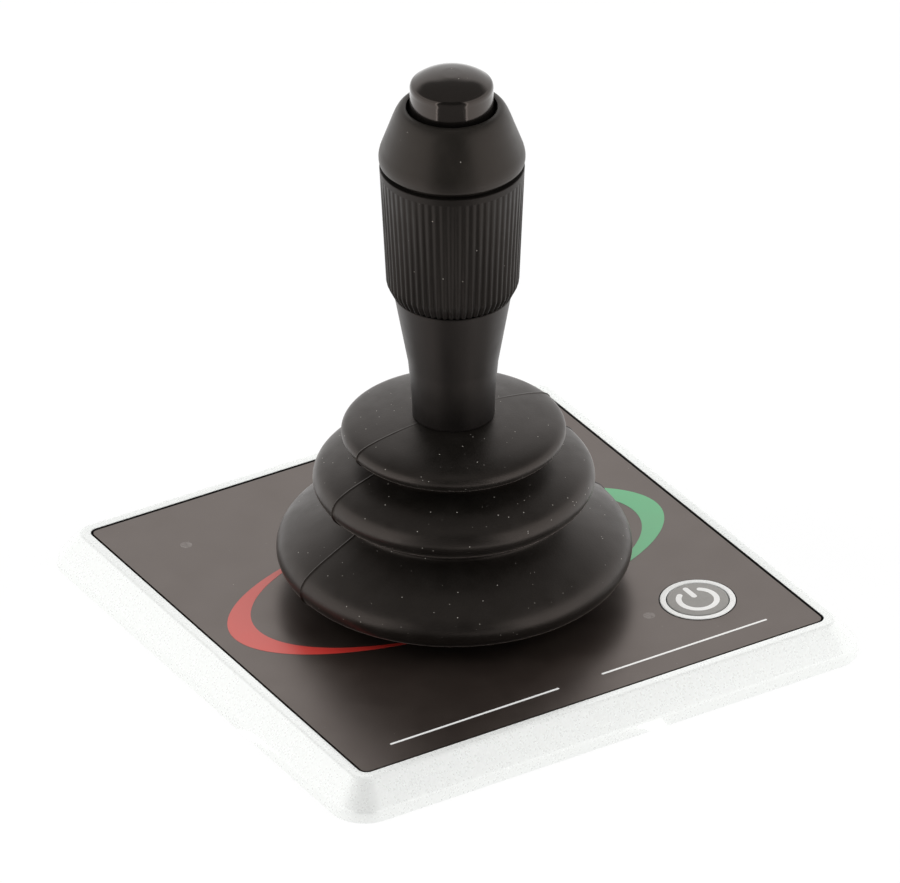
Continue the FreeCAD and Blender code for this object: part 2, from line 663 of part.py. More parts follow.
def coil(name, radius, wire, low, height, turns, spread=0.0, hang=False):
    """A wire spring: a circle swept along a helix, which widens by spread and may hang from its low level."""
    helix = doc.addObject("Part::Helix", name + "_line")
    bind(helix, "Radius", radius)
    bind(helix, "Height", height)
    bind(helix, "Pitch", height / turns)
    helix.SegmentLength = HELIX_SEGMENT
    if isinstance(spread, Size):
        bind(helix, "Angle", cone_angle(spread, height))
    section = doc.addObject("Part::Circle", name + "_wire")
    bind(section, "Radius", wire)
    section.Placement = FreeCAD.Placement(FreeCAD.Vector(number(radius), 0, 0), TURNS["Y"])
    bind(section, "Placement.Base.x", radius)
    doc.recompute()
    sweep = doc.addObject("Part::Sweep", name)
    sweep.Sections = [section]
    sweep.Spine = (helix, [f"Edge{i + 1}" for i in range(len(helix.Shape.Edges))])
    sweep.Solid = True
    sweep.Frenet = True
    return place(sweep, (0, 0, low), "down" if hang else "Z")


def screw(name, x, y, head_low, head_radius, head_height, shank_radius, shank_top):
    """A screw that points up: a head with a six-sided recess below, its shank above."""
    head = cylinder(name + "_head", head_radius, head_height, (x, y, head_low))
    shank = cylinder(name + "_shank", shank_radius, shank_top - head_low, (x, y, head_low))
    solid = fuse(name + "_blank", [head, shank])
    recess = hexagon(name + "_recess", head_radius / 2, head_height / 2, (x, y, head_low))
    return cut(name, solid, recess)


# Bezel, overlay, membrane and gasket

def make_bezel():
    """Square frame: an upright band, a sloped face with conical corners and a flat rim."""
    body = new_body("bezel_frame")
    band_half = bezel_half - d.band_draft
    rim_half = window_half + d.rim_width
    foot = new_sketch(body, "bezel_foot")
    draw_loop(foot, rounded_square(bezel_half, d.bezel_corner))
    band = new_sketch(body, "bezel_band", "XY_Plane", d.band_height)
    draw_loop(band, rounded_square(band_half, d.bezel_corner - d.band_draft))
    rim = new_sketch(body, "bezel_rim", "XY_Plane", d.bezel_height)
    draw_loop(rim, rounded_square(rim_half, d.rim_corner))
    loft = body.newObject("PartDesign::AdditiveLoft", "bezel_loft")
    loft.Profile = foot
    loft.Sections = [band, rim]
    loft.Ruled = True
    body.Tip = loft
    doc.recompute()
    window = new_sketch(body, "bezel_window")
    draw_loop(window, rounded_square(window_half, d.overlay_corner + d.window_gap))
    pocket(body, window, d.bezel_height, "bezel_window_cut")
    room = new_sketch(body, "bezel_room")
    draw_loop(room, rounded_square(bezel_inner_half, d.chassis_corner + d.chassis_fit))
    pocket(body, room, bezel_pocket_top, "bezel_room_cut")
    noses = new_sketch(body, "snap_noses", "XY_Plane", chassis_low - d.snap_height)
    outer = bezel_inner_half + d.snap_reach
    inner = bezel_inner_half - d.snap_reach
    half = d.snap_length / 2
    draw_loop(noses, [(inner, -half), (outer, -half), (outer, half), (inner, half)])
    draw_loop(noses, [(-outer, -half), (-inner, -half), (-inner, half), (-outer, half)])
    draw_loop(noses, [(-half, inner), (half, inner), (half, outer), (-half, outer)])
    draw_loop(noses, [(-half, -outer), (half, -outer), (half, -inner), (-half, -inner)])
    pad(body, noses, d.snap_height, "snap_noses_pad")
    return body


def make_chassis():
    """Moulded plate that carries everything, with a raised land inside the bezel."""
    body = new_body("chassis_plate")
    flange = new_sketch(body, "chassis_flange", "XY_Plane", chassis_low)
    draw_loop(flange, rounded_square(chassis_half, d.chassis_corner))
    pad(body, flange, d.chassis_thick, "chassis_flange_pad")
    land = new_sketch(body, "chassis_land", "XY_Plane", flange_top)
    draw_loop(land, rounded_square(overlay_half, d.overlay_corner))
    pad(body, land, d.land_height, "chassis_land_pad")
    bosses = new_sketch(body, "chassis_bosses", "XY_Plane", chassis_boss_low)
    for x, y in corners(boss_place):
        draw_circle(bosses, x, y, d.boss_radius)
    pad(body, bosses, chassis_low - chassis_boss_low, "chassis_bosses_pad")
    doc.recompute()
    mouth = new_sketch(body, "chassis_mouth", "XY_Plane", chassis_low)
    draw_circle(mouth, 0, 0, mouth_radius)
    draw_loop(mouth, tail_slot())
    pocket(body, mouth, d.chassis_thick + d.land_height, "chassis_mouth_cut")
    key_well = new_sketch(body, "key_well", "XY_Plane", key_floor)
    draw_circle(key_well, key_x, -key_y, d.halo_radius)
    pocket(body, key_well, land_top - key_floor, "key_well_cut")
    light_wells = new_sketch(body, "light_wells", "XY_Plane", land_top - d.led_height)
    for x, y in light_places():
        draw_circle(light_wells, x, y, d.led_side / 2 + d.led_room)
    pocket(body, light_wells, d.led_height, "light_wells_cut")
    stud_holes = new_sketch(body, "stud_holes", "XY_Plane", chassis_low)
    for x, y in corners(stud_place):
        draw_circle(stud_holes, x, y, d.stud_collar)
    pocket(body, stud_holes, d.stud_seat, "stud_holes_cut")
    gimbal_holes = new_sketch(body, "gimbal_holes", "XY_Plane", chassis_low)
    for x, y in gimbal_screw_places():
        draw_circle(gimbal_holes, x, y, d.gimbal_screw_radius)
    pocket(body, gimbal_holes, d.screw_bite, "gimbal_holes_cut")
    boss_holes = new_sketch(body, "boss_holes", "XY_Plane", chassis_boss_low)
    for x, y in corners(boss_place):
        draw_circle(boss_holes, x, y, d.case_screw_radius)
    pocket(body, boss_holes, d.case_screw_bite, "boss_holes_cut")
    return body


def light_places():
    upper = (d.light_a_inset_x - overlay_half, overlay_half - d.light_a_inset_y)
    lower = (overlay_half - d.light_b_inset_x, d.light_b_inset_y - overlay_half)
    return [upper, lower]


def gimbal_screw_places():
    place_at = gimbal_screw_place
    return [(place_at, 0), (0, place_at), (-place_at, 0), (0, -place_at)]


def tail_slot():
    half = d.tail_slot_length / 2
    near = tail_slot_place
    far = near + d.tail_slot_width
    return [(-half, near), (half, near), (half, far), (-half, far)]


def make_overlay():
    holes = [(0, 0, mouth_radius), (key_x, -key_y, d.halo_radius)]
    holes += [(x, y, d.light_radius) for x, y in light_places()]
    outline = rounded_square(overlay_half, d.overlay_corner)
    return slab("panel_overlay", outline, membrane_top, d.overlay_thick, holes)


def make_membrane():
    """Thin circuit film with a tail that drops through the chassis to the circuit board."""
    body = new_body("membrane_circuit")
    tail_low = board_top + d.connector_height
    film = new_sketch(body, "membrane_outline", "XY_Plane", land_top)
    draw_loop(film, rounded_square(overlay_half - d.membrane_inset, d.overlay_corner))
    draw_circle(film, 0, 0, mouth_radius)
    draw_circle(film, key_x, -key_y, d.key_radius + d.key_flange_extra + d.key_gap)
    for x, y in light_places():
        draw_circle(film, x, y, d.light_radius)
    pad(body, film, d.membrane_thick, "membrane_pad")
    tail = new_sketch(body, "membrane_tail", "XY_Plane", tail_low)
    half = d.tail_slot_length / 2 - d.tail_fit
    near = tail_slot_place + d.tail_fit
    draw_loop(tail, [(-half, near), (half, near), (half, near + d.tail_thick), (-half, near + d.tail_thick)])
    pad(body, tail, membrane_top - tail_low, "membrane_tail_pad")
    return body


def make_gasket():
    holes = [(x, y, d.stud_collar + d.stud_clearance) for x, y in corners(stud_place)]
    inner = rounded_square(case_half + d.gasket_room, d.case_corner)
    outline = rounded_square(chassis_half - d.gasket_inset, d.chassis_corner)
    return slab("flange_gasket", outline, 0.0, d.gasket_thick, holes, [inner])


def make_studs():
    """Four studs, each with a collar that sits in the chassis and reaches the console's face."""
    studs = []
    collar_height = chassis_low + d.stud_seat
    rod_length = d.stud_reach - d.stud_chamfer
    tip_radius = d.stud_radius - d.stud_chamfer
    for i, (x, y) in enumerate(corners(stud_place)):
        rod = cylinder(f"stud_{i}_rod", d.stud_radius, rod_length, (x, y, -rod_length))
        end = cone(f"stud_{i}_end", tip_radius, d.stud_radius, d.stud_chamfer, (x, y, -d.stud_reach))
        collar = cylinder(f"stud_{i}_collar", d.stud_collar, collar_height, (x, y, 0))
        studs.append(fuse(f"stud_{i}", [rod, end, collar]))
    return group("mounting_studs", studs)


# Power key and status lights

def make_key():
    """Round cap with a flange under the ring and a plunger into its switch."""
    plunger_foot = key_floor + d.key_travel + d.plunger_gap
    flange_radius = d.key_radius + d.key_flange_extra
    flange_low = key_flange_top - d.key_flange_thick
    return turned("power_key", [
        (0, plunger_foot),
        (d.plunger_radius, plunger_foot),
        (d.plunger_radius, flange_low),
        (flange_radius, flange_low),
        (flange_radius, key_flange_top),
        (d.key_radius, key_flange_top),
        (d.key_radius, key_top),
        (0, key_top),
    ], (key_x, -key_y, 0))


def make_halo():
    inner = d.key_radius + d.key_gap
    section = ring_section(inner, d.halo_radius, membrane_top, key_top)
    return turned("key_halo", section, (key_x, -key_y, 0))


def make_key_switch():
    body = block("key_switch_body", d.switch_side, d.switch_side, d.switch_height, (key_x, -key_y), key_floor)
    bore = cylinder("key_switch_bore", d.plunger_radius + d.plunger_gap, d.switch_height - d.plunger_gap,
                    (key_x, -key_y, key_floor + d.plunger_gap))
    return cut("key_switch", body, bore)


def make_lights():
    windows = []
    diodes = []
    diode_low = land_top - d.led_height
    for i, (x, y) in enumerate(light_places()):
        windows.append(cylinder(f"light_window_{i}", d.light_radius, d.overlay_thick, (x, y, membrane_top)))
        diodes.append(block(f"light_diode_{i}", d.led_side, d.led_side, d.led_height, (x, y), diode_low))
    return [group("led_windows", windows), group("status_leds", diodes)]


# Boot and its clamping

def make_boot():
    """Three-tier rubber bellows: neck and clamped flange below, a collar round the stem above."""
    wall = d.boot_wall
    lip_in = d.lip_bulge
    tiers = [
        (d.tier_a_radius, d.tier_a_height, d.tier_a_lip, d.valley_ab_radius, d.valley_ab_height),
        (d.tier_b_radius, d.tier_b_height, d.tier_b_lip, d.valley_bc_radius, d.valley_bc_height),
        (d.tier_c_radius, d.tier_c_height, d.tier_c_lip, d.collar_radius, d.collar_low),
    ]
    outside = [
        (d.boot_neck, chassis_low),
        (d.boot_neck, panel_top + d.boot_lip_rise),
    ]
    inside = [
        (d.boot_neck - wall, panel_top + d.boot_lip_rise + wall / 2),
        (d.boot_neck - wall, boot_flange_low),
    ]
    for radius, height, lip, valley_radius, valley_height in tiers:
        root = radius - lip_in
        low = panel_top + height - lip / 2
        high = panel_top + height + lip / 2
        fold = panel_top + valley_height
        outside += [(root, low, lip_in), (root, high, d.tier_crown), (valley_radius, fold)]
        inside = [
            (valley_radius - wall, fold - wall / 2),
            (root - wall / 3, high - wall),
            (root - wall / 3, low + wall),
        ] + inside
    collar_top = panel_top + d.collar_low + d.collar_height
    collar_bore = stem_radius_at(collar_top) + d.collar_fit
    outside += [(d.collar_radius, collar_top), (collar_bore, collar_top)]
    inside[0] = (collar_bore, panel_top + d.collar_low - wall)
    flange = [(boot_flange, boot_flange_low), (boot_flange, chassis_low)]
    return turned("boot", outside + inside + flange)


def stem_radius_at(height):
    """Radius of the tapered stem at a level."""
    stem_top = grip_foot_rise - d.grip_gap
    slope = (d.stem_top_radius - d.stem_foot_radius) / (stem_top - stem_foot_rise)
    return d.stem_foot_radius + (height - stem_foot_rise) * slope


def make_clamp_ring():
    body = new_body("boot_clamp_ring")
    sketch = new_sketch(body, "clamp_outline", "XY_Plane", clamp_low)
    draw_circle(sketch, 0, 0, housing_flange)
    draw_circle(sketch, 0, 0, d.clamp_ring_inner)
    for x, y in gimbal_screw_places():
        draw_circle(sketch, x, y, d.gimbal_screw_radius + d.screw_fit)
    pad(body, sketch, d.clamp_ring_thick, "clamp_pad")
    return body


# Gimbal

def make_gimbal_housing():
    """Flanged cup with an open floor and two pivot bores across it."""
    outer = d.housing_inner + d.housing_wall
    floor_low = -d.housing_depth
    cup = turned("gimbal_cup", [
        (d.housing_floor_hole, floor_low),
        (outer, floor_low),
        (outer, housing_flange_low),
        (housing_flange, housing_flange_low),
        (housing_flange, clamp_low),
        (d.housing_inner, clamp_low),
        (d.housing_inner, floor_low + d.housing_floor),
        (d.housing_floor_hole, floor_low + d.housing_floor),
    ])
    tools = [cylinder("gimbal_bore", d.pin_radius, outer * 2, (-outer, 0, pivot_z), "X")]
    for i, (x, y) in enumerate(gimbal_screw_places()):
        tools.append(cylinder(f"gimbal_screw_hole_{i}", d.gimbal_screw_radius + d.screw_fit,
                              d.housing_flange_thick, (x, y, housing_flange_low)))
    return cut("gimbal_housing", cup, fuse("gimbal_housing_tools", tools))


def make_gimbal_ring():
    blank = turned("gimbal_ring_blank", ring_section(d.ring_inner, d.ring_outer, pivot_z - d.ring_height / 2,
                                                     pivot_z + d.ring_height / 2))
    across = d.ring_outer * 2
    bore = d.pin_radius + d.pin_fit
    side_bore = cylinder("ring_side_bore", bore, across, (-d.ring_outer, 0, pivot_z), "X")
    cross_bore = cylinder("ring_cross_bore", bore, across, (0, -d.ring_outer, pivot_z), "Y")
    return cut("gimbal_ring", blank, fuse("gimbal_ring_bores", [side_bore, cross_bore]))


def make_outer_pins():
    outer = d.housing_inner + d.housing_wall
    near = d.ring_inner + d.outer_pin_gap
    right = cylinder("outer_pin_right", d.pin_radius, outer - near, (near, 0, pivot_z), "X")
    left = cylinder("outer_pin_left", d.pin_radius, outer - near, (-outer, 0, pivot_z), "X")
    return group("outer_pivot_pins", [right, left])


def make_cross_pin():
    half = d.ring_outer - d.outer_pin_gap
    return cylinder("cross_pin", d.pin_radius, half * 2, (0, -half, pivot_z), "Y")


def make_lever_hub():
    """Turned hub with a socket for the shaft, a cross bore for the pin and a tail below."""
    hub_low = pivot_z - d.hub_drop
    blank = turned("lever_hub_blank", [
        (0, -tail_end),
        (d.tail_radius, -tail_end),
        (d.tail_radius, hub_low),
        (d.hub_radius, hub_low),
        (d.hub_radius, -d.hub_shoulder),
        (d.hub_top_radius, d.hub_rise),
        (d.shaft_radius, d.hub_rise),
        (d.shaft_radius, -d.hub_socket),
        (0, -d.hub_socket),
    ])
    bore = cylinder("lever_hub_bore", d.pin_radius, d.hub_radius * 2, (0, -d.hub_radius, pivot_z), "Y")
    return cut("lever_hub", blank, bore)


def make_magnet_holder():
    """Cup on the lever's tail that holds the tilt magnet against the sensor below."""
    tail_tip = -tail_end
    return turned("magnet_holder", [
        (d.magnet_radius, -magnet_holder_end),
        (d.magnet_holder_radius, -magnet_holder_end),
        (d.magnet_holder_radius, -magnet_holder_top),
        (d.tail_radius, -magnet_holder_top),
        (d.tail_radius, tail_tip),
        (d.magnet_radius, tail_tip),
    ])


def make_tilt_magnet():
    return cylinder("tilt_magnet", d.magnet_radius, magnet_holder_end - tail_end, (0, 0, -magnet_holder_end))


def make_spring_seat():
    low = d.housing_floor - d.housing_depth
    return washer("spring_seat", d.seat_inner, d.housing_inner - d.seat_fit, low, d.seat_thick)


def make_centring_spring():
    top = pivot_z - d.hub_drop - d.spring_wire
    foot = d.housing_floor - d.housing_depth + d.seat_thick + d.spring_wire
    spread = d.spring_foot_radius - d.spring_top_radius
    turns = d.spring_turns
    return coil("centring_spring", d.spring_top_radius, d.spring_wire, top, top - foot, turns, spread, True)


def make_gimbal_screws():
    screws = []
    head_height = d.gimbal_screw_head_height
    head_low = housing_flange_low - head_height
    for i, (x, y) in enumerate(gimbal_screw_places()):
        screws.append(screw(f"gimbal_screw_{i}", x, y, head_low, d.gimbal_screw_head, head_height,
                            d.gimbal_screw_radius, screw_top))
    return group("gimbal_screws", screws)


# Lever and grip

def make_shaft():
    return washer("lever_shaft", d.shaft_bore, d.shaft_radius, -d.hub_socket, shaft_top + d.hub_socket)


def make_stem():
    """Tapered stem with the lower bearing spigot of the grip on top."""
    stem_top = grip_foot_rise - d.grip_gap
    return turned("grip_stem", [
        (d.shaft_radius, stem_foot_rise),
        (d.stem_foot_radius, stem_foot_rise),
        (d.stem_top_radius, stem_top),
        (spigot_radius, stem_top),
        (spigot_radius, stem_top + d.spigot_height),
        (d.shaft_radius, stem_top + d.spigot_height),
    ])


def make_bush():
    return washer("twist_bush", d.shaft_radius, spigot_radius, bush_low, d.bush_height)


def make_clip():
    return washer("retaining_ring", d.shaft_radius, d.clip_radius, bush_low + d.bush_height, d.clip_thick)


def make_sleeve():
    """Tapered sleeve with sixty ribs below a smooth band, running on two bearings."""
    stem_top = grip_foot_rise - d.grip_gap
    bore = spigot_radius + d.spigot_fit
    lip_low = stem_top + d.spigot_height + d.inner_lip_gap
    lip_top = bush_low - d.inner_lip_gap
    blank = turned("sleeve_blank", [
        (bore, grip_foot_rise),
        (grip_foot_radius, grip_foot_rise),
        (grip_low_radius, grip_foot_rise + d.grip_chamfer),
        (grip_top_radius, grip_top_rise),
        (cap_plug_radius, grip_top_rise),
        (cap_plug_radius, plug_foot),
        (bore, plug_foot),
        (bore, lip_top),
        (d.inner_lip_radius, lip_top),
        (d.inner_lip_radius, lip_low),
        (bore, lip_low),
    ])
    return cut("grip_sleeve", blank, rib_grooves())


def rib_grooves():
    """One wedge for each groove between two ribs, following the sleeve's taper and its chamfer."""
    low_z = number(grip_foot_rise)
    chamfer_z = low_z + number(d.grip_chamfer)
    top_z = number(grip_top_rise - d.grip_band)
    slope = number(grip_top_radius - grip_low_radius) / (number(grip_top_rise) - chamfer_z)
    levels = [
        (low_z, number(grip_foot_radius)),
        (chamfer_z, number(grip_low_radius)),
        (top_z, number(grip_low_radius) + slope * (top_z - chamfer_z)),
    ]
    half = number(d.rib_groove) / 2
    depth = number(d.rib_depth)
    triangles = []
    for level, radius in levels:
        far = radius + depth
        spread = half * 2
        points = [(radius - depth, 0), (far, -spread), (far, spread), (radius - depth, 0)]
        triangles.append(Part.makePolygon([FreeCAD.Vector(x, y, level) for x, y in points]))
    wedge = Part.makeLoft(triangles, True, True)
    count = int(number(d.rib_count))
    wedges = []
    for i in range(count):
        turned_wedge = wedge.copy()
        turned_wedge.rotate(FreeCAD.Vector(0, 0, 0), FreeCAD.Vector(0, 0, 1), i * 360 / count)
        wedges.append(turned_wedge)
    feature = doc.addObject("Part::Feature", "rib_wedges")
    feature.Shape = Part.makeCompound(wedges)
    return feature


def make_cap():
    """Dome cap: a plug in the sleeve, a groove, a rounded cone and a mouth round the button."""
    return turned("dome_cap", [
        (cap_bore, plug_foot),
        (cap_plug_radius, plug_foot),
        (cap_plug_radius, grip_top_rise),
        (cap_groove_radius, grip_top_rise),
        (cap_groove_radius, cap_foot),
        (cap_radius, cap_foot),
        (cap_radius, cap_foot + d.cap_edge, d.cap_edge_swell),
        (cap_shoulder_radius, cap_foot + d.cap_shoulder_rise),
        (cap_brow_radius, cap_foot + d.cap_brow_rise, d.cap_brow_swell),
        (cap_mouth, cap_mouth_z),
        (cap_mouth, lip_low),
        (cap_bore, lip_low),
    ])


def make_retainer():
    low = retainer_top - d.retainer_thick
    return washer("button_retainer", d.retainer_hole, cap_bore, low, d.retainer_thick)


def make_twist_magnet():
    low = plug_foot + d.twist_ring_rise
    return washer("twist_magnet", d.twist_ring_inner, cap_bore, low, d.twist_ring_height)


def make_twist_sensor():
    middle = (d.shaft_radius + d.sensor_thick / 2, 0)
    low = plug_foot + d.twist_ring_rise
    return block("twist_sensor", d.sensor_thick, d.sensor_side, d.twist_ring_height, middle, low)


def make_torsion_spring():
    low = grip_foot_rise - d.grip_gap + d.spigot_height + d.torsion_wire
    height = bush_low - low - d.torsion_wire
    return coil("twist_spring", d.torsion_radius, d.torsion_wire, low, height, d.torsion_turns)


def make_button():
    """Hollow thumb button: a domed face, a flared skirt, a flange and a pin into its switch."""
    edge_z = cap_mouth_z + d.button_edge_rise
    crown_z = cap_mouth_z + d.button_height
    pin_foot = shaft_top + d.button_travel + d.plunger_gap
    cavity_top = crown_z - d.button_crown_wall
    dome_radius = button_radius - d.button_bevel
    dome_foot = edge_z + d.button_bevel
    return turned("push_button", [
        (0, pin_foot),
        (d.button_pin_radius, pin_foot),
        (d.button_pin_radius, cavity_top),
        (d.button_cavity, cavity_top),
        (d.button_cavity, button_foot),
        (button_flange, button_foot),
        (button_flange, button_flange_top),
        (d.button_skirt_radius, button_flange_top),
        (d.button_skirt_radius, cap_mouth_z),
        (button_radius, edge_z),
        (dome_radius, dome_foot, ball_swell(dome_radius, crown_z - dome_foot)),
        (0, crown_z),
    ])


def make_button_spring():
    low = retainer_top + d.button_spring_wire
    top = cap_mouth_z + d.button_height - d.button_crown_wall - d.button_spring_wire
    turns = d.button_spring_turns
    return coil("button_spring", d.button_spring_radius, d.button_spring_wire, low, top - low, turns)


def make_thumb_switch():
    side = d.top_switch_side
    body = block("thumb_switch_body", side, side, d.top_switch_height, (0, 0), shaft_top)
    bore_radius = d.button_pin_radius + d.plunger_gap
    bore_length = d.top_switch_height - d.plunger_gap
    bore = cylinder("thumb_switch_bore", bore_radius, bore_length, (0, 0, shaft_top + d.plunger_gap))
    return cut("button_switch", body, bore)


# Rear housing, circuit board and sockets

def make_case():
    """Open box under the chassis with four screw bosses, two board posts and two socket holes."""
    height = case_depth
    boss_height = chassis_boss_low - case_low
    body = new_body("case_box")
    outline = new_sketch(body, "case_outline", "XY_Plane", case_low)
    draw_loop(outline, rounded_square(case_half, d.case_corner))
    pad(body, outline, height, "case_pad")
    doc.recompute()
    room = new_sketch(body, "case_room", "XY_Plane", case_floor_top)
    draw_loop(room, rounded_square(case_half - d.case_wall, d.case_corner - d.case_wall))
    pocket(body, room, height - d.case_wall, "case_room_cut")
    solids = [body]
    post_height = board_low - case_low
    for i, (x, y) in enumerate(corners(boss_place)):
        solids.append(cylinder(f"boss_{i}", d.boss_radius, boss_height, (x, y, case_low)))
        solids.append(cylinder(f"boss_step_{i}", d.boss_radius + d.boss_step, post_height, (x, y, case_low)))
    for i, (x, y) in enumerate(post_places()):
        solids.append(cylinder(f"post_{i}", d.board_post_radius, post_height, (x, y, case_low)))
    whole = fuse("case_whole", solids)
    trim = cut("case_trim", whole, case_surround())
    tools = []
    hole_radius = d.case_screw_radius + d.screw_fit
    sink_radius = d.case_screw_head + d.screw_fit
    for i, (x, y) in enumerate(corners(boss_place)):
        tools.append(cylinder(f"case_hole_{i}", hole_radius, boss_height, (x, y, case_low)))
        tools.append(cylinder(f"case_sink_{i}", sink_radius, d.case_screw_head_height, (x, y, case_low)))
    for i, x in enumerate((d.socket_place, -d.socket_place)):
        tools.append(cylinder(f"socket_hole_{i}", d.socket_radius, d.case_wall, (x, 0, case_low)))
    for i, (x, y) in enumerate(post_places()):
        tools.append(cylinder(f"post_hole_{i}", d.board_screw_radius, d.board_screw_length,
                              (x, y, board_low - d.board_screw_length)))
    return cut("rear_housing", trim, fuse("case_tools", tools))


def post_places():
    x = board_half - d.post_inset_x
    y = board_half - d.post_inset_y
    return [(x, -y), (-x, y)]


def case_surround():
    """Everything outside the rear housing's outline, to trim the bosses that reach past its walls."""
    far = case_half * 2
    outline = [(-far, -far), (far, -far), (far, far), (-far, far)]
    inner = rounded_square(case_half, d.case_corner)
    return slab("case_surround", outline, case_low, case_depth, (), [inner])


def make_seal():
    outline = rounded_square(case_half, d.case_corner)
    inner = rounded_square(case_half - d.case_wall, d.case_corner - d.case_wall)
    return slab("housing_seal", outline, 0.0, chassis_low, (), [inner])


def make_case_screws():
    screws = []
    for i, (x, y) in enumerate(corners(boss_place)):
        screws.append(screw(f"rear_screw_{i}", x, y, case_low, d.case_screw_head, d.case_screw_head_height,
                            d.case_screw_radius, case_screw_top))
    return group("rear_screws", screws)


def make_board():
    """Square board with its corners notched round the screw bosses."""
    half = board_half
    notch = boss_place - d.boss_radius - d.board_notch_gap
    outline = [
        (-notch, -half), (notch, -half), (notch, -notch), (half, -notch), (half, notch), (notch, notch),
        (notch, half), (-notch, half), (-notch, notch), (-half, notch), (-half, -notch), (-notch, -notch),
    ]
    holes = [(x, y, d.board_screw_radius + d.screw_fit) for x, y in post_places()]
    return slab("circuit_board", outline, board_low, d.board_thick, holes)


def make_board_screws():
    screws = []
    foot = board_low - d.board_screw_length
    head_height = d.gimbal_screw_head_height
    for i, (x, y) in enumerate(post_places()):
        head = cylinder(f"board_screw_{i}_head", d.gimbal_screw_head, head_height, (x, y, board_top))
        shank = cylinder(f"board_screw_{i}_shank", d.board_screw_radius, board_top - foot, (x, y, foot))
        screws.append(fuse(f"board_screw_{i}", [head, shank]))
    return group("board_screws", screws)


def make_tilt_sensor():
    return block("tilt_sensor", d.tilt_sensor_side, d.tilt_sensor_side, d.sensor_thick, (0, 0), board_top)


def make_chips():
    """Controller, transceiver, regulator and tail connector on the circuit board."""
    blocks = []
    for name in ("controller", "transceiver", "regulator", "inductor"):
        side, height, x, y = [getattr(d, f"{name}_{what}") for what in ("side", "height", "x", "y")]
        blocks.append(block(f"chip_{name}", side, side, height, (x, y), board_top))
    middle = tail_slot_place + d.tail_fit + d.tail_thick / 2
    blocks.append(block("tail_connector", d.connector_width, d.connector_depth, d.connector_height,
                        (0, middle - d.connector_depth / 2 + d.tail_thick * 2), board_top))
    return group("board_chips", blocks)


def make_socket(name, x):
    """Round threaded socket with a flange outside the housing and five contact holes."""
    barrel_foot = case_low - d.socket_flange_thick - d.socket_barrel
    top = case_floor_top + d.socket_inner_reach
    shell = turned(name + "_shell", [
        (0, barrel_foot),
        (d.socket_radius, barrel_foot),
        (d.socket_radius, case_low - d.socket_flange_thick),
        (d.socket_flange, case_low - d.socket_flange_thick),
        (d.socket_flange, case_low),
        (d.socket_radius, case_low),
        (d.socket_radius, top),
        (0, top),
    ], (x, 0, 0))
    contacts = [cylinder(name + "_contact", d.contact_radius, d.contact_depth, (x, 0, barrel_foot))]
    for i in range(4):
        angle = math.radians(45 + 90 * i)
        across = x + d.contact_circle * math.cos(angle)
        along = d.contact_circle * math.sin(angle)
        mouth = (across, along, barrel_foot)
        contacts.append(cylinder(f"{name}_contact_{i}", d.contact_radius, d.contact_depth, mouth))
    return cut(name, shell, fuse(name + "_contacts", contacts))


def make_socket_nuts():
    nuts = []
    for i, x in enumerate((d.socket_place, -d.socket_place)):
        blank = hexagon(f"socket_nut_{i}_blank", d.socket_flange, d.socket_nut_height, (x, 0, case_floor_top))
        bore = cylinder(f"socket_nut_{i}_bore", d.socket_radius, d.socket_nut_height, (x, 0, case_floor_top))
        nuts.append(cut(f"socket_nut_{i}", blank, bore))
    return group("socket_nuts", nuts)


def build_pieces():
    pieces = [
        make_bezel(), make_chassis(), make_overlay(), make_membrane(), make_gasket(), make_studs(),
        make_key(), make_halo(), make_key_switch(),
    ]
    pieces += make_lights()
    pieces += [
        make_boot(), make_clamp_ring(), make_gimbal_housing(), make_gimbal_ring(), make_outer_pins(),
        make_cross_pin(), make_lever_hub(), make_magnet_holder(), make_tilt_magnet(), make_spring_seat(),
        make_centring_spring(), make_gimbal_screws(), make_shaft(), make_stem(), make_bush(), make_clip(),
        make_sleeve(), make_cap(), make_retainer(), make_twist_magnet(), make_twist_sensor(),
        make_torsion_spring(), make_button(), make_button_spring(), make_thumb_switch(), make_case(),
        make_seal(), make_case_screws(), make_board(), make_board_screws(), make_tilt_sensor(), make_chips(),
        make_socket("power_socket", d.socket_place), make_socket("bus_socket", -d.socket_place),
        make_socket_nuts(),
    ]
    return pieces


def check_document(pieces):
    """Stop on any object that failed to compute, and on any piece whose shape isn't sound."""
    for thing in doc.Objects:
        if "Invalid" in thing.State or "Error" in thing.State:
            raise RuntimeError(f"{thing.Label}: {thing.State} {thing.getStatusString()}")
    for piece in pieces:
        if piece.Shape.isNull() or not piece.Shape.isValid() or not piece.Shape.Solids:
            raise RuntimeError(f"{piece.Label}: shape isn't sound")


def write_pieces(pieces):
    os.makedirs("parts", exist_ok=True)
    for piece in pieces:
        piece.Shape.exportStep(os.path.join("parts", piece.Label + ".step"))
    print(f"{len(pieces)} pieces written")


pieces = build_pieces()
doc.recompute()
check_document(pieces)
write_pieces(pieces)
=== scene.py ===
import json
import math

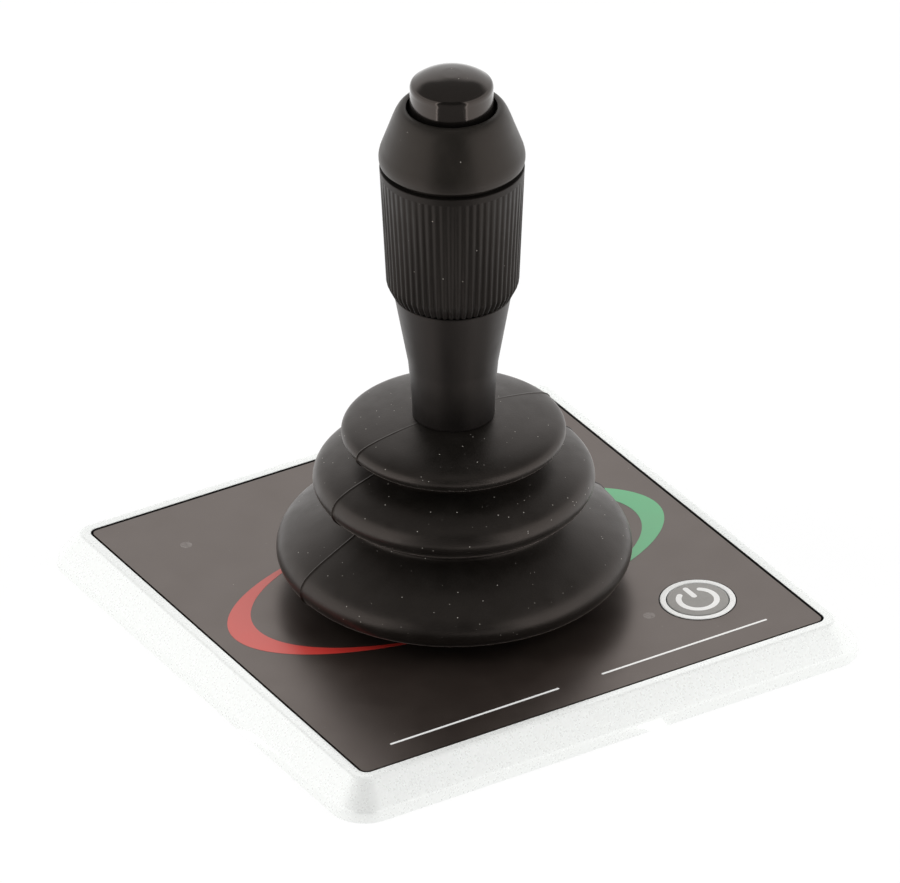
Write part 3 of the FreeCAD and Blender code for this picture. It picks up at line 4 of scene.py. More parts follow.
import bmesh
import bpy
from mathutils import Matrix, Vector


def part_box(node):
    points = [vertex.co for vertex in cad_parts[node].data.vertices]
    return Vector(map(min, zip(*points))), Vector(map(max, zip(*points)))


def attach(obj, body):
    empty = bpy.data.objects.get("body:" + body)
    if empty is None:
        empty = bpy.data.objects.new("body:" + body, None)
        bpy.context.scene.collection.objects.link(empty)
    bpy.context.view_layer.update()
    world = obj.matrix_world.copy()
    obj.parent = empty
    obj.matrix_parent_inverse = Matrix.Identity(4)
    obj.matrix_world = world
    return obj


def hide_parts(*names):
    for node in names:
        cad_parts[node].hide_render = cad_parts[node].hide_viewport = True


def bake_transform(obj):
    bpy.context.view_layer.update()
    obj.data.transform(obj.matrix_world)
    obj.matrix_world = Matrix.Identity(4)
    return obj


# Looks of a flush-mounted joystick control panel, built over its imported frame.
# Sizes below are in millimetres in the part's own frame: +Z out of the console, +X to the right
# along the panel's front edge, +Y away from the operator. mm() turns them into metres.

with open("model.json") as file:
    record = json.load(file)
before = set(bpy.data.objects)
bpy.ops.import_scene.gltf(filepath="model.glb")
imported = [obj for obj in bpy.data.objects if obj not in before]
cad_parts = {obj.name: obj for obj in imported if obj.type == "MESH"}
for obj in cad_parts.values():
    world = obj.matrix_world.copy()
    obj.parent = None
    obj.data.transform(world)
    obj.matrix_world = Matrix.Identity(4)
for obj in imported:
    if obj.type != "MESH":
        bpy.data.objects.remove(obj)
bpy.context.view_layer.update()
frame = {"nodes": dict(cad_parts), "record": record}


# Small helpers

WELD_DISTANCE = 0.0005
ROUND_SPOKES = 128
EDGE_ANGLE = 40


def mm(*lengths):
    """One length, or a vector of three, from millimetres to metres."""
    metres = [length * 0.001 for length in lengths]
    return metres[0] if len(metres) == 1 else Vector(metres)


def low_of(node):
    """Lowest level of a frame node, in millimetres."""
    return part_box(node)[0].z * 1000


def top_of(node):
    """Highest level of a frame node, in millimetres."""
    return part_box(node)[1].z * 1000


def softened(corners, steps=5):
    """Closed outline whose last number at each corner is how far it is cut back and rounded."""
    line = []
    for i, corner in enumerate(corners):
        here = Vector(corner[:-1])
        reach = corner[-1]
        if not reach:
            line.append(here)
            continue
        before = Vector(corners[i - 1][:-1])
        after = Vector(corners[(i + 1) % len(corners)][:-1])
        start = here + (before - here).normalized() * reach
        end = here + (after - here).normalized() * reach
        for k in range(steps + 1):
            t = k / steps
            line.append(start * (1 - t) ** 2 + here * (2 * t * (1 - t)) + end * t ** 2)
    return line


def flowing(knots, steps=8):
    """Smooth open line through the knots."""
    points = [Vector(knot) for knot in knots]
    ends = [points[0] * 2 - points[1]] + points + [points[-1] * 2 - points[-2]]
    line = []
    for a, b, c, e in zip(ends, ends[1:], ends[2:], ends[3:]):
        for k in range(steps):
            t = k / steps
            line.append((b * 2 + (c - a) * t + (a * 2 - b * 5 + c * 4 - e) * t ** 2
                         + (b * 3 - a - c * 3 + e) * t ** 3) / 2)
    line.append(points[-1])
    return line


def mesh_piece(name, points, faces, edge_angle=EDGE_ANGLE):
    """Mesh object from points in millimetres, with its faces turned outward and its edges kept crisp."""
    mesh = bpy.data.meshes.new(name)
    mesh.from_pydata([mm(*point) for point in points], [], faces)
    work = bmesh.new()
    work.from_mesh(mesh)
    bmesh.ops.remove_doubles(work, verts=work.verts, dist=mm(WELD_DISTANCE))
    bmesh.ops.recalc_face_normals(work, faces=work.faces)
    work.to_mesh(mesh)
    work.free()
    mesh.shade_smooth()
    mesh.set_sharp_from_angle(angle=math.radians(edge_angle))
    piece = bpy.data.objects.new(name, mesh)
    bpy.context.scene.collection.objects.link(piece)
    return piece


def even_spokes(count):
    """Angles evenly spaced round a circle."""
    return [2 * math.pi * k / count for k in range(count)]


def turned(name, outline, middle=(0, 0), spokes=None, relief=None, edge_angle=EDGE_ANGLE):
    """Solid of revolution about an upright axis, from an outline of (radius, height).

    relief(angle, radius, height) is how far a point stands out from the plain radius."""
    spokes = spokes or even_spokes(ROUND_SPOKES)
    x, y = middle
    points = []
    for radius, height in outline:
        for angle in spokes:
            reach = radius + (relief(angle, radius, height) if relief and radius else 0)
            points.append((x + reach * math.cos(angle), y + reach * math.sin(angle), height))
    around = len(spokes)
    rows = len(outline)
    faces = []
    for i in range(rows):
        after = (i + 1) % rows
        if outline[i][0] == 0 and outline[after][0] == 0:
            continue
        for j in range(around):
            k = (j + 1) % around
            ring = [i * around + j, i * around + k, after * around + k, after * around + j]
            if outline[i][0] == 0:
                ring = [ring[0], ring[2], ring[3]]
            elif outline[after][0] == 0:
                ring = ring[:3]
            faces.append(ring)
    return mesh_piece(name, points, faces, edge_angle)


def square_ring(half, corner, level, steps=12):
    """Points round a square with rounded corners."""
    ring = []
    for quarter in range(4):
        start = quarter * math.pi / 2
        sign_x = math.copysign(1, math.cos(start + math.pi / 4))
        sign_y = math.copysign(1, math.sin(start + math.pi / 4))
        for k in range(steps + 1):
            angle = start + k * math.pi / 2 / steps
            ring.append((
                sign_x * (half - corner) + corner * math.cos(angle),
                sign_y * (half - corner) + corner * math.sin(angle),
                level,
            ))
    return ring


def square_frame(name, outline):
    """Closed frame whose outline of (half side, height, plan corner) runs round a rounded square."""
    points = []
    for half, level, corner in outline:
        points += square_ring(half, corner, level)
    around = len(points) // len(outline)
    faces = []
    for i in range(len(outline)):
        after = (i + 1) % len(outline)
        for j in range(around):
            k = (j + 1) % around
            faces.append([i * around + j, i * around + k, after * around + k, after * around + j])
    return mesh_piece(name, points, faces)


def plate(name, loop, low, high):
    """Thin closed plate with the plan outline of the loop."""
    count = len(loop)
    points = [(x, y, low) for x, y in loop] + [(x, y, high) for x, y in loop]
    faces = [list(range(count))[::-1], list(range(count, 2 * count))]
    for j in range(count):
        k = (j + 1) % count
        faces.append([j, k, count + k, count + j])
    return mesh_piece(name, points, faces)


def strip(name, outer, inner, low, high):
    """Thin closed plate between two lines of points."""
    count = len(outer)
    points = []
    for level in (low, high):
        points += [(x, y, level) for x, y in outer]
        points += [(x, y, level) for x, y in inner]
    faces = []
    for j in range(count - 1):
        faces.append([j, j + 1, count + j + 1, count + j])
        faces.append([2 * count + j, 3 * count + j, 3 * count + j + 1, 2 * count + j + 1])
        faces.append([j, 2 * count + j, 2 * count + j + 1, j + 1])
        faces.append([count + j, count + j + 1, 3 * count + j + 1, 3 * count + j])
    for j in (0, count - 1):
        faces.append([j, count + j, 3 * count + j, 2 * count + j])
    return mesh_piece(name, points, faces)


def brush_stroke(path, width, steps=8):
    """Plan outline of a line of the given width with round ends."""
    points = [Vector(point) for point in path]
    half = width / 2
    left = []
    right = []
    for i, point in enumerate(points):
        ahead = (points[min(i + 1, len(points) - 1)] - points[max(i - 1, 0)]).normalized()
        side = Vector((-ahead.y, ahead.x)) * half
        left.append(point + side)
        right.append(point - side)
    first = (points[0] - points[1]).normalized()
    last = (points[-1] - points[-2]).normalized()
    far_end = round_end(points[-1], last, half, steps)
    near_end = round_end(points[0], first, half, steps)
    return left + far_end + right[::-1] + near_end


def round_end(middle, ahead, radius, steps):
    """Points of the half circle that closes a stroke, from its left side to its right."""
    start = math.atan2(ahead.y, ahead.x) + math.pi / 2
    angles = [start - math.pi * k / steps for k in range(1, steps)]
    return [middle + Vector((math.cos(a), math.sin(a))) * radius for a in angles]


def plug(tree, node, links):
    """Sets a node's inputs: a socket is linked to them, and any other value is set as it is."""
    for socket, value in links.items():
        if isinstance(value, bpy.types.NodeSocket):
            tree.links.new(value, node.inputs[socket])
        else:
            node.inputs[socket].default_value = value


# The camera, fitted to the four corners of the printed panel. Its clip range is in metres.

CAMERA_AZIMUTH = math.radians(-121.40)
CAMERA_ELEVATION = math.radians(30.49)
CAMERA_ROLL = math.radians(-0.35)
CAMERA_DISTANCE = 1339.9
CAMERA_RAISED = 18.815
CAMERA_ASIDE = -0.624
CAMERA_LENS = 381.24
CAMERA_CLIP = (0.1, 20)
panel_top = top_of("panel_overlay")


def make_camera():
    """Camera with a slight roll, raised and set aside a little from the line to the panel's middle."""
    back = Vector((
        math.cos(CAMERA_AZIMUTH) * math.cos(CAMERA_ELEVATION),
        math.sin(CAMERA_AZIMUTH) * math.cos(CAMERA_ELEVATION),
        math.sin(CAMERA_ELEVATION),
    ))
    level_right = Vector((0, 0, 1)).cross(back).normalized()
    level_up = back.cross(level_right)
    right = level_right * math.cos(CAMERA_ROLL) + level_up * math.sin(CAMERA_ROLL)
    up = back.cross(right)
    camera = bpy.data.objects.new("camera", bpy.data.cameras.new("camera"))
    bpy.context.scene.collection.objects.link(camera)
    turn = camera.matrix_world.copy()
    for column, axis in enumerate((right, up, back)):
        for row in range(3):
            turn[row][column] = axis[row]
    place = Vector((0, 0, panel_top)) + back * CAMERA_DISTANCE + up * CAMERA_RAISED + right * CAMERA_ASIDE
    turn.translation = mm(*place)
    camera.matrix_world = turn
    camera.data.lens = CAMERA_LENS
    camera.data.clip_start, camera.data.clip_end = CAMERA_CLIP
    bpy.context.scene.camera = camera


make_camera()


# Materials

WARM_GLOSS = (1.0, 0.85, 0.77, 1.0)
PLAIN_GLOSS = (1.0, 1.0, 1.0, 1.0)
NOISE_ROUGHNESS = 0.6
CLOUD_RANGE = (0.3, 0.7)
GRAIN_DETAIL = 2.0
DUST_COLOUR = (0.48, 0.45, 0.41)
DUST_FADE = 0.02
FLAKE_SIZE = 0.25
FLAKE_LIFT = 0.5
PAINT_WAVES = 0.5
PAINT_GLOSS = (0.26, 0.36)
PAINT_RELIEF = 0.0015
FILM_CLOUDS = 6.0
FILM_GLOSS = (0.31, 0.37)
FILM_COAT = {"Specular_IOR_Level": 1.0, "IOR": 1.7}
FILM_DUST = (0.6, 0.16, 0.02)
FILM_DUST_COLOUR = (0.30, 0.28, 0.26)
FILM_GRAIN = 0.3
FILM_RELIEF = 0.004
METAL_MARKS = 0.4
METAL_DETAIL = 4.0
METAL_DULL = 0.82
METAL_RELIEF = 0.004
TRACK_SPACING = 3.0
TRACK_EDGES = (0.42, 0.46)
TRACK_RELIEF = 0.03
BOARD_CLOUDS = 4.0
BOARD_GLOSS = (0.3, 0.45)


class Surface:
    """A Principled material with a few short ways to add procedural detail. Sizes are in millimetres."""

    def __init__(self, name, **settings):
        self.material = bpy.data.materials.new(name)
        self.material.use_nodes = True
        self.tree = self.material.node_tree
        self.shader = self.tree.nodes["Principled BSDF"]
        settings.setdefault("Specular_Tint", WARM_GLOSS)
        for socket, value in settings.items():
            self.shader.inputs[socket.replace("_", " ")].default_value = value
        self.place = self.tree.nodes.new("ShaderNodeTexCoord").outputs["Object"]

    def add(self, kind, links, **settings):
        """New node with its settings, and its inputs linked or set."""
        node = self.tree.nodes.new(kind)
        for key, value in settings.items():
            setattr(node, key, value)
        plug(self.tree, node, links)
        return node

    def noise(self, size, detail=3.0, stretch=None):
        """Cloudy noise from 0 to 1 whose features are about the given size."""
        place = self.place
        if stretch:
            links = {0: place, 1: stretch}
            place = self.add("ShaderNodeVectorMath", links, operation="MULTIPLY").outputs[0]
        links = {"Vector": place, "Scale": 1000 / size, "Detail": detail}
        links["Roughness"] = NOISE_ROUGHNESS
        return self.add("ShaderNodeTexNoise", links).outputs["Fac"]

    def cells(self, size):
        """Cell texture, whose outputs give the distance from each cell's middle and its own colour."""
        return self.add("ShaderNodeTexVoronoi", {"Vector": self.place, "Scale": 1000 / size}).outputs

    def channel(self, colour, name):
        """One channel of a colour."""
        return self.add("ShaderNodeSeparateColor", {"Color": colour}).outputs[name]

    def scaled(self, value, start, end, low=0.0, high=1.0):
        """The value from start to end, drawn out from low to high."""
        links = {"Value": value, "From Min": start, "From Max": end, "To Min": low, "To Max": high}
        return self.add("ShaderNodeMapRange", links).outputs["Result"]

    def math(self, operation, first, second):
        return self.add("ShaderNodeMath", {0: first, 1: second}, operation=operation).outputs[0]

    def blend(self, share, first, second):
        """Colour between two others. Inputs 6 and 7 of the node are its colours."""
        links = {0: share}
        for socket, colour in ((6, first), (7, second)):
            links[socket] = colour if isinstance(colour, bpy.types.NodeSocket) else (*colour, 1)
        return self.add("ShaderNodeMix", links, data_type="RGBA").outputs[2]

    def dust(self, spacing, size, share):
        """1 on specks of about the given size and 0 between them. The share is how many of the
        places, which lie about the given spacing apart, have a speck."""
        cells = self.cells(spacing)
        radius = size / 2 / spacing
        near = self.scaled(cells["Distance"], radius, radius / 2)
        chance = self.channel(cells["Color"], "Red")
        chosen = self.scaled(chance, 1 - share, 1 - share + DUST_FADE)
        return self.math("MULTIPLY", near, chosen)

    def feed(self, socket, value):
        """Links a value to one of the shader's inputs."""
        self.tree.links.new(value, self.shader.inputs[socket])

    def bump(self, height, depth):
        """Relief of the given depth in millimetres, from a height that runs from 0 to 1."""
        links = {"Height": height, "Distance": mm(depth), "Strength": 1.0}
        self.feed("Normal", self.add("ShaderNodeBump", links).outputs["Normal"])


def moulded(name, dark, light, rough, mottle=3.0, grain=0.25, relief=0.01, dust=None, **settings):
    """Rubber or plastic: mottled colour, uneven gloss, a fine grain and, if asked, sparse dust."""
    surface = Surface(name, **settings)
    clouds = surface.noise(mottle)
    colour = surface.blend(surface.scaled(clouds, *CLOUD_RANGE), dark, light)
    gloss = surface.scaled(clouds, *CLOUD_RANGE, *rough)
    if dust:
        specks = surface.dust(*dust)
        colour = surface.blend(specks, colour, DUST_COLOUR)
        gloss = surface.math("MAXIMUM", gloss, specks)
    surface.feed("Base Color", colour)
    surface.feed("Roughness", gloss)
    surface.bump(surface.noise(grain, GRAIN_DETAIL), relief)
    return surface.material


def painted_silver():
    """Silver paint: bright flakes in a satin coat."""
    surface = Surface("bezel_paint", Metallic=0.2, Specular_Tint=PLAIN_GLOSS)
    flake = surface.channel(surface.cells(FLAKE_SIZE)["Color"], "Green")
    lift = surface.math("MULTIPLY", flake, FLAKE_LIFT)
    surface.feed("Base Color", surface.blend(flake, (0.93, 0.945, 0.925), (0.97, 0.985, 0.965)))
    surface.feed("Roughness", surface.scaled(flake, 0, 1, *PAINT_GLOSS))
    surface.bump(surface.math("ADD", lift, surface.noise(PAINT_WAVES)), PAINT_RELIEF)
    return surface.material


def printed_film(name, dark, light):
    """Satin printed film with a very fine texture."""
    surface = Surface(name, **FILM_COAT)
    clouds = surface.noise(FILM_CLOUDS)
    colour = surface.blend(surface.scaled(clouds, *CLOUD_RANGE), dark, light)
    surface.feed("Base Color", surface.blend(surface.dust(*FILM_DUST), colour, FILM_DUST_COLOUR))
    surface.feed("Roughness", surface.scaled(clouds, *CLOUD_RANGE, *FILM_GLOSS))
    surface.bump(surface.noise(FILM_GRAIN, GRAIN_DETAIL), FILM_RELIEF)
    return surface.material


def bare_metal(name, colour, rough, stretch=None):
    """Metal with fine tool marks, drawn out along one way if asked."""
    surface = Surface(name, Metallic=1.0)
    marks = surface.noise(METAL_MARKS, METAL_DETAIL, stretch)
    dull = tuple(METAL_DULL * part for part in colour)
    surface.feed("Base Color", surface.blend(surface.scaled(marks, *CLOUD_RANGE), dull, colour))
    surface.feed("Roughness", surface.scaled(marks, *CLOUD_RANGE, *rough))
    surface.bump(marks, METAL_RELIEF)
    return surface.material


def circuit_board():
    """Green solder mask with slightly raised tracks."""
    surface = Surface("board_green", Coat_Weight=0.4, Coat_Roughness=0.2)
    tracks = surface.scaled(surface.cells(TRACK_SPACING)["Distance"], *TRACK_EDGES)
    clouds = surface.noise(BOARD_CLOUDS)
    surface.feed("Base Color", surface.blend(tracks, (0.01, 0.09, 0.035), (0.02, 0.17, 0.07)))
    surface.feed("Roughness", surface.scaled(clouds, *CLOUD_RANGE, *BOARD_GLOSS))
    surface.bump(tracks, TRACK_RELIEF)
    return surface.material


FINISHES = {
    "bezel_silver": painted_silver(),
    "moulding_black": moulded(
        "spark_black", (0.018, 0.018, 0.019), (0.03, 0.03, 0.031), (0.55, 0.7), grain=0.35, relief=0.03,
    ),
    "overlay_film": printed_film("panel_film", (0.018, 0.013, 0.011), (0.024, 0.018, 0.015)),
    "circuit_film": moulded("circuit_film", (0.42, 0.24, 0.06), (0.5, 0.3, 0.08), (0.3, 0.4)),
    "seal_rubber": moulded(
        "foam_rubber", (0.02, 0.02, 0.02), (0.035, 0.035, 0.035), (0.8, 0.9), grain=0.3, relief=0.06,
    ),
    "stainless": bare_metal("stainless", (0.62, 0.61, 0.59), (0.22, 0.36), (0.4, 0.4, 4)),
    "halo_white": moulded(
        "halo_white", (0.90, 0.92, 0.91), (0.94, 0.96, 0.95), FILM_GLOSS, **FILM_COAT,
    ),
    "key_grey": moulded(
        "key_grey", (0.20, 0.21, 0.205), (0.24, 0.25, 0.24), FILM_GLOSS, mottle=0.8, **FILM_COAT,
    ),
    "switch_black": moulded(
        "switch_black", (0.015, 0.015, 0.016), (0.025, 0.025, 0.026), (0.35, 0.45),
    ),
    "light_window": moulded(
        "light_window", (0.03, 0.027, 0.026), (0.16, 0.15, 0.145), FILM_GLOSS, mottle=0.35, **FILM_COAT,
    ),
    "boot_rubber": moulded(
        "boot_rubber", (0.0050, 0.0044, 0.0036), (0.0076, 0.0068, 0.0058), (0.34, 0.44),
        grain=0.3, relief=0.010, dust=(0.6, 0.18, 0.12), Specular_IOR_Level=0.6,
        Sheen_Weight=0.25, Sheen_Roughness=0.2, Sheen_Tint=WARM_GLOSS,
    ),
    "bearing_plastic": moulded(
        "bearing_plastic", (0.045, 0.045, 0.047), (0.065, 0.065, 0.068), (0.4, 0.5),
    ),
    "spring_wire": bare_metal("spring_steel", (0.55, 0.54, 0.52), (0.25, 0.35)),
    "board_green": circuit_board(),
    "chip_black": moulded(
        "chip_black", (0.012, 0.012, 0.013), (0.02, 0.02, 0.021), (0.5, 0.6), relief=0.02,
    ),
    "socket_metal": bare_metal("nickel_plate", (0.60, 0.58, 0.54), (0.2, 0.32)),
    "magnet": bare_metal("magnet_nickel", (0.48, 0.47, 0.45), (0.15, 0.25)),
    "grip_black": moulded(
        "stem_black", (0.0060, 0.0053, 0.0050), (0.0085, 0.0075, 0.0070), (0.36, 0.44),
        grain=0.2, relief=0.004, dust=(0.6, 0.16, 0.015), Specular_IOR_Level=0.33,
    ),
    "sleeve_rubber": moulded(
        "sleeve_rubber", (0.0060, 0.0053, 0.0046), (0.0085, 0.0077, 0.0068), (0.42, 0.52),
        grain=0.2, relief=0.008, dust=(0.6, 0.18, 0.03), Specular_IOR_Level=0.27,
    ),
    "cap_black": moulded(
        "cap_black", (0.010, 0.009, 0.0075), (0.014, 0.0125, 0.0105), (0.38, 0.46),
        grain=0.2, relief=0.005, dust=(0.6, 0.18, 0.02), Specular_IOR_Level=0.4,
    ),
    "button_black": moulded(
        "button_black", (0.005, 0.0045, 0.004), (0.007, 0.0062, 0.0055), (0.10, 0.15),
        grain=0.6, relief=0.001, dust=(0.6, 0.16, 0.05), Specular_IOR_Level=0.66,
    ),
}
RED_INK = printed_film("red_ink", (0.56, 0.030, 0.022), (0.60, 0.038, 0.030))
GREEN_INK = printed_film("green_ink", (0.048, 0.44, 0.18), (0.056, 0.47, 0.20))
WHITE_INK = printed_film("white_ink", (0.92, 0.93, 0.92), (0.95, 0.96, 0.95))
# Matte black for the thin line round the key's ring: painted shade at the ring's edge.
SHADE_BLACK = moulded(
    "painted_shade_black", (0.006, 0.005, 0.004), (0.02, 0.017, 0.015), (0.5, 0.6), Specular_IOR_Level=0.1,
)

slot_of = {part["node"]: part["material_slot"] for part in frame["record"]["subparts"]}


def dress(piece, material):
    """Gives the piece its material."""
    piece.data.materials.clear()
    piece.data.materials.append(material)


def dress_nodes():
    """Gives every frame node the finish of its material slot."""
    for name, node in frame["nodes"].items():
        for slot in node.material_slots:
            slot.material = FINISHES[slot_of[name]]


def stand_in(piece, *nodes):
    """The piece takes the place and the finish of frame nodes."""
    dress(piece, FINISHES[slot_of[nodes[0]]])
    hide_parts(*nodes)
    return piece


dress_nodes()


# Bezel

BAND_HEIGHT = 1.6
BAND_LEAN = 0.3
RIM_WIDTH = 1.45
BEZEL_CORNER = 5.3
RIM_CORNER = 2.4
WINDOW_CORNER = 1.3
ROOM_CORNER = 3.2
BEZEL_WALL = 2.5
BEZEL_LID = 1.6
WINDOW_GAP = 0.3
WINDOW_SHADE_MARGIN = 0.06
BEZEL_FOOT_ROUND = 0.15
BAND_ROUND = 0.3
RIM_ROUND = 0.4
WINDOW_ROUND = 0.25


def make_bezel():
    """Frame with an upright band, a sloped face and a narrow flat rim, its edges rounded.

    The wall of its window gets the black finish up to the rim's edge: painted shade for the dark gap
    round the film."""
    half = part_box("bezel_frame")[1].x * 1000
    top = top_of("bezel_frame")
    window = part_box("panel_overlay")[1].x * 1000 + WINDOW_GAP
    room = half - BEZEL_WALL
    outline = softened([
        (half, 0, BEZEL_CORNER, BEZEL_FOOT_ROUND),
        (half - BAND_LEAN, BAND_HEIGHT, BEZEL_CORNER - BAND_LEAN, BAND_ROUND),
        (window + RIM_WIDTH, top, RIM_CORNER, RIM_ROUND),
        (window, top, WINDOW_CORNER, WINDOW_ROUND),
        (window, top - BEZEL_LID, WINDOW_CORNER, 0),
        (room, top - BEZEL_LID, ROOM_CORNER, 0),
        (room, 0, ROOM_CORNER, BEZEL_FOOT_ROUND),
    ])
    bezel = square_frame("bezel", outline)
    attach(bezel, "panel")
    stand_in(bezel, "bezel_frame")
    # Black finish on the window wall's faces: painted shade for the dark gap between the film and the
    # bezel.
    bezel.data.materials.append(FINISHES["switch_black"])
    for face in bezel.data.polygons:
        reach = max(abs(face.center.x), abs(face.center.y))
        if reach < mm(window + WINDOW_SHADE_MARGIN) and face.center.z < mm(top - WINDOW_SHADE_MARGIN):
            face.material_index = 1


make_bezel()


# Print on the panel: two crescents and a fine line

INK_SINK = 0.01
INK_RISE = 0.02
CRESCENT_MIDDLE_Y = 1.8
CRESCENT_OUTER = (34.8, 15.5)
CRESCENT_INNER = (30.9, 15.35)
CRESCENT_SWEEP = math.radians(66)
LINE_Y = -33.2
LINE_SPAN = (3.65, 30.55)
LINE_WIDTH = 0.36


def lay_on_film(piece, ink):
    """The piece lies on the panel's film: print, and the painted shade line round the key's ring."""
    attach(piece, "panel")
    dress(piece, ink)


def make_crescent(name, side, ink):
    """Crescent beside the boot; its tips run in under the lowest tier."""
    steps = 72
    angles = [CRESCENT_SWEEP * (2 * k / steps - 1) for k in range(steps + 1)]
    lines = []
    for along, across in (CRESCENT_OUTER, CRESCENT_INNER):
        lines.append([
            (side * along * math.cos(angle), CRESCENT_MIDDLE_Y + across * math.sin(angle))
            for angle in angles
        ])
    lay_on_film(strip(name, *lines, panel_top - INK_SINK, panel_top + INK_RISE), ink)


def make_print():
    """Both crescents, and the line with the gap at its middle."""
    make_crescent("port_crescent", -1, RED_INK)
    make_crescent("starboard_crescent", 1, GREEN_INK)
    for name, side in (("line_left", -1), ("line_right", 1)):
        stroke = brush_stroke([(side * x, LINE_Y) for x in LINE_SPAN], LINE_WIDTH)
        lay_on_film(plate(name, stroke, panel_top - INK_SINK, panel_top + INK_RISE), WHITE_INK)


make_print()


# Power key with its ring and standby sign

KEY_FLANGE = 0.6
KEY_FLANGE_THICK = 0.4
KEY_PLUNGER = 0.8
KEY_LAND = 4.2
KEY_PLUNGER_ROUND = 0.1
KEY_FLANGE_ROUND = 0.05
KEY_FACE_ROUND = 0.18
SIGN_RADIUS = 2.68
SIGN_WIDTH = 0.82
SIGN_GAP = math.radians(38)
SIGN_BAR = (0.95, 3.15)
RING_WIDTH = 0.86
RING_ROUND = 0.14
RING_SHADE_WIDTH = 0.16


def make_key():
    """Key cap with a flange under the film, its sign and the ring round it."""
    low, high = [corner * 1000 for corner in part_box("power_key")]
    middle = ((low.x + high.x) / 2, (low.y + high.y) / 2)
    flange = (high.x - low.x) / 2
    face = flange - KEY_FLANGE
    outline = softened([
        (0, low.z, 0),
        (KEY_PLUNGER, low.z, KEY_PLUNGER_ROUND),
        (KEY_PLUNGER, KEY_LAND - KEY_FLANGE_THICK, 0),
        (flange, KEY_LAND - KEY_FLANGE_THICK, KEY_FLANGE_ROUND),
        (flange, KEY_LAND, KEY_FLANGE_ROUND),
        (face, KEY_LAND, 0),
        (face, high.z, KEY_FACE_ROUND),
        (0, high.z, 0),
    ])
    key = turned("key_cap", outline, middle)
    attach(key, "power_key")
    stand_in(key, "power_key")
    make_sign(middle, high.z)
    make_ring(middle)


def make_sign(middle, level):
    """Standby sign: an open circle and a bar."""
    centre = Vector(middle)
    steps = 48
    start = math.pi / 2 + SIGN_GAP
    sweep = 2 * (math.pi - SIGN_GAP)
    arc = []
    for k in range(steps + 1):
        angle = start + sweep * k / steps
        arc.append(centre + Vector((math.cos(angle), math.sin(angle))) * SIGN_RADIUS)
    bar = [centre + Vector((0, y)) for y in SIGN_BAR]
    for name, path in (("sign_arc", arc), ("sign_bar", bar)):
        sign = plate(name, brush_stroke(path, SIGN_WIDTH), level - INK_SINK, level + INK_RISE)
        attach(sign, "power_key")
        dress(sign, WHITE_INK)


def make_ring(middle):
    """White ring round the key, with a thin black line round it that paints the shade at the ring's edge.
    """
    low, high = [corner * 1000 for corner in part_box("key_halo")]
    outer = (high.x - low.x) / 2
    inner = outer - RING_WIDTH
    ring = turned("key_ring", softened([
        (inner, low.z, 0),
        (outer, low.z, 0),
        (outer, high.z, RING_ROUND),
        (inner, high.z, RING_ROUND),
    ]), middle)
    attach(ring, "panel")
    stand_in(ring, "key_halo")
    level = panel_top + INK_RISE
    # Thin matte black band round the ring: painted shade at its edge.
    shade_line = turned("ring_painted_shade", [
        (outer, panel_top - INK_SINK),
        (outer + RING_SHADE_WIDTH, panel_top - INK_SINK),
        (outer + RING_SHADE_WIDTH, level),
        (outer, level),
    ], middle)
    lay_on_film(shade_line, SHADE_BLACK)


make_key()


# Boot: three folded tiers, in two meshes that meet in the lower valley

BOOT_WALL = 1.0
BOOT_NECK = 17.0
BOOT_FLANGE = 19.6
BOOT_FLANGE_THICK = 1.2
BOOT_FLANGE_ROUND = 0.2
BOOT_LIP_TOP = 31.8
BOOT_LIP_LOW = 30.9
BOOT_LIP_BORE = 5.15
BOOT_SPLIT = 17.35
BOOT_EDGE_ANGLE = 60
LIP_SPARED = 10
SEAM_HEIGHT = 0.24
SEAM_HALF_WIDTH = 0.22
LOWER_FOLDS = [
    (BOOT_NECK, 5.2), (17.6, 5.7), (19.4, 6.4), (22.4, 7.2), (24.3, 8.5), (25.0, 10.3),
    (24.3, 12.1), (22.2, 13.7), (19.0, 15.4), (16.4, 16.75), (15.75, BOOT_SPLIT),
]
UPPER_FOLDS = [
    (15.75, BOOT_SPLIT), (16.5, 18.0), (18.3, 19.1), (19.5, 20.5), (19.72, 21.8), (18.9, 23.3),
    (16.6, 24.5), (13.6, 25.5), (12.25, 26.1), (13.1, 26.9), (14.9, 27.7), (15.68, 28.9),
    (15.1, 30.0), (13.0, 30.75), (9.6, 31.35), (7.4, 31.62), (6.1, 31.72),
]


def boot_spokes():
    """Spokes all round, much closer together at the two mould seams."""
    quarter = [0.2, 0.4, 0.6, 0.85, 1.2, 1.7, 2.4] + list(range(4, 91, 2))
    half = [0] + quarter + [180 - angle for angle in quarter[-2::-1]]
    return [math.radians(angle) for angle in half + [180 + angle for angle in half]]


def seam_relief(angle, radius, height):
    """Fine ridge that the mould leaves on both sides of the boot."""
    if height < panel_top:
        return 0
    aside = abs(radius * math.sin(angle))
    if aside > SEAM_HALF_WIDTH:
        return 0
    return SEAM_HEIGHT * (0.5 + 0.5 * math.cos(math.pi * aside / SEAM_HALF_WIDTH))


def shell_outline(outside, wall):
    """Outline of a wall of even thickness inside the given line."""
    inside = []
    for i, point in enumerate(outside):
        ahead = (outside[min(i + 1, len(outside) - 1)] - outside[max(i - 1, 0)]).normalized()
        inside.append(point + Vector((-ahead.y, ahead.x)) * wall)
    return outside + inside[::-1]


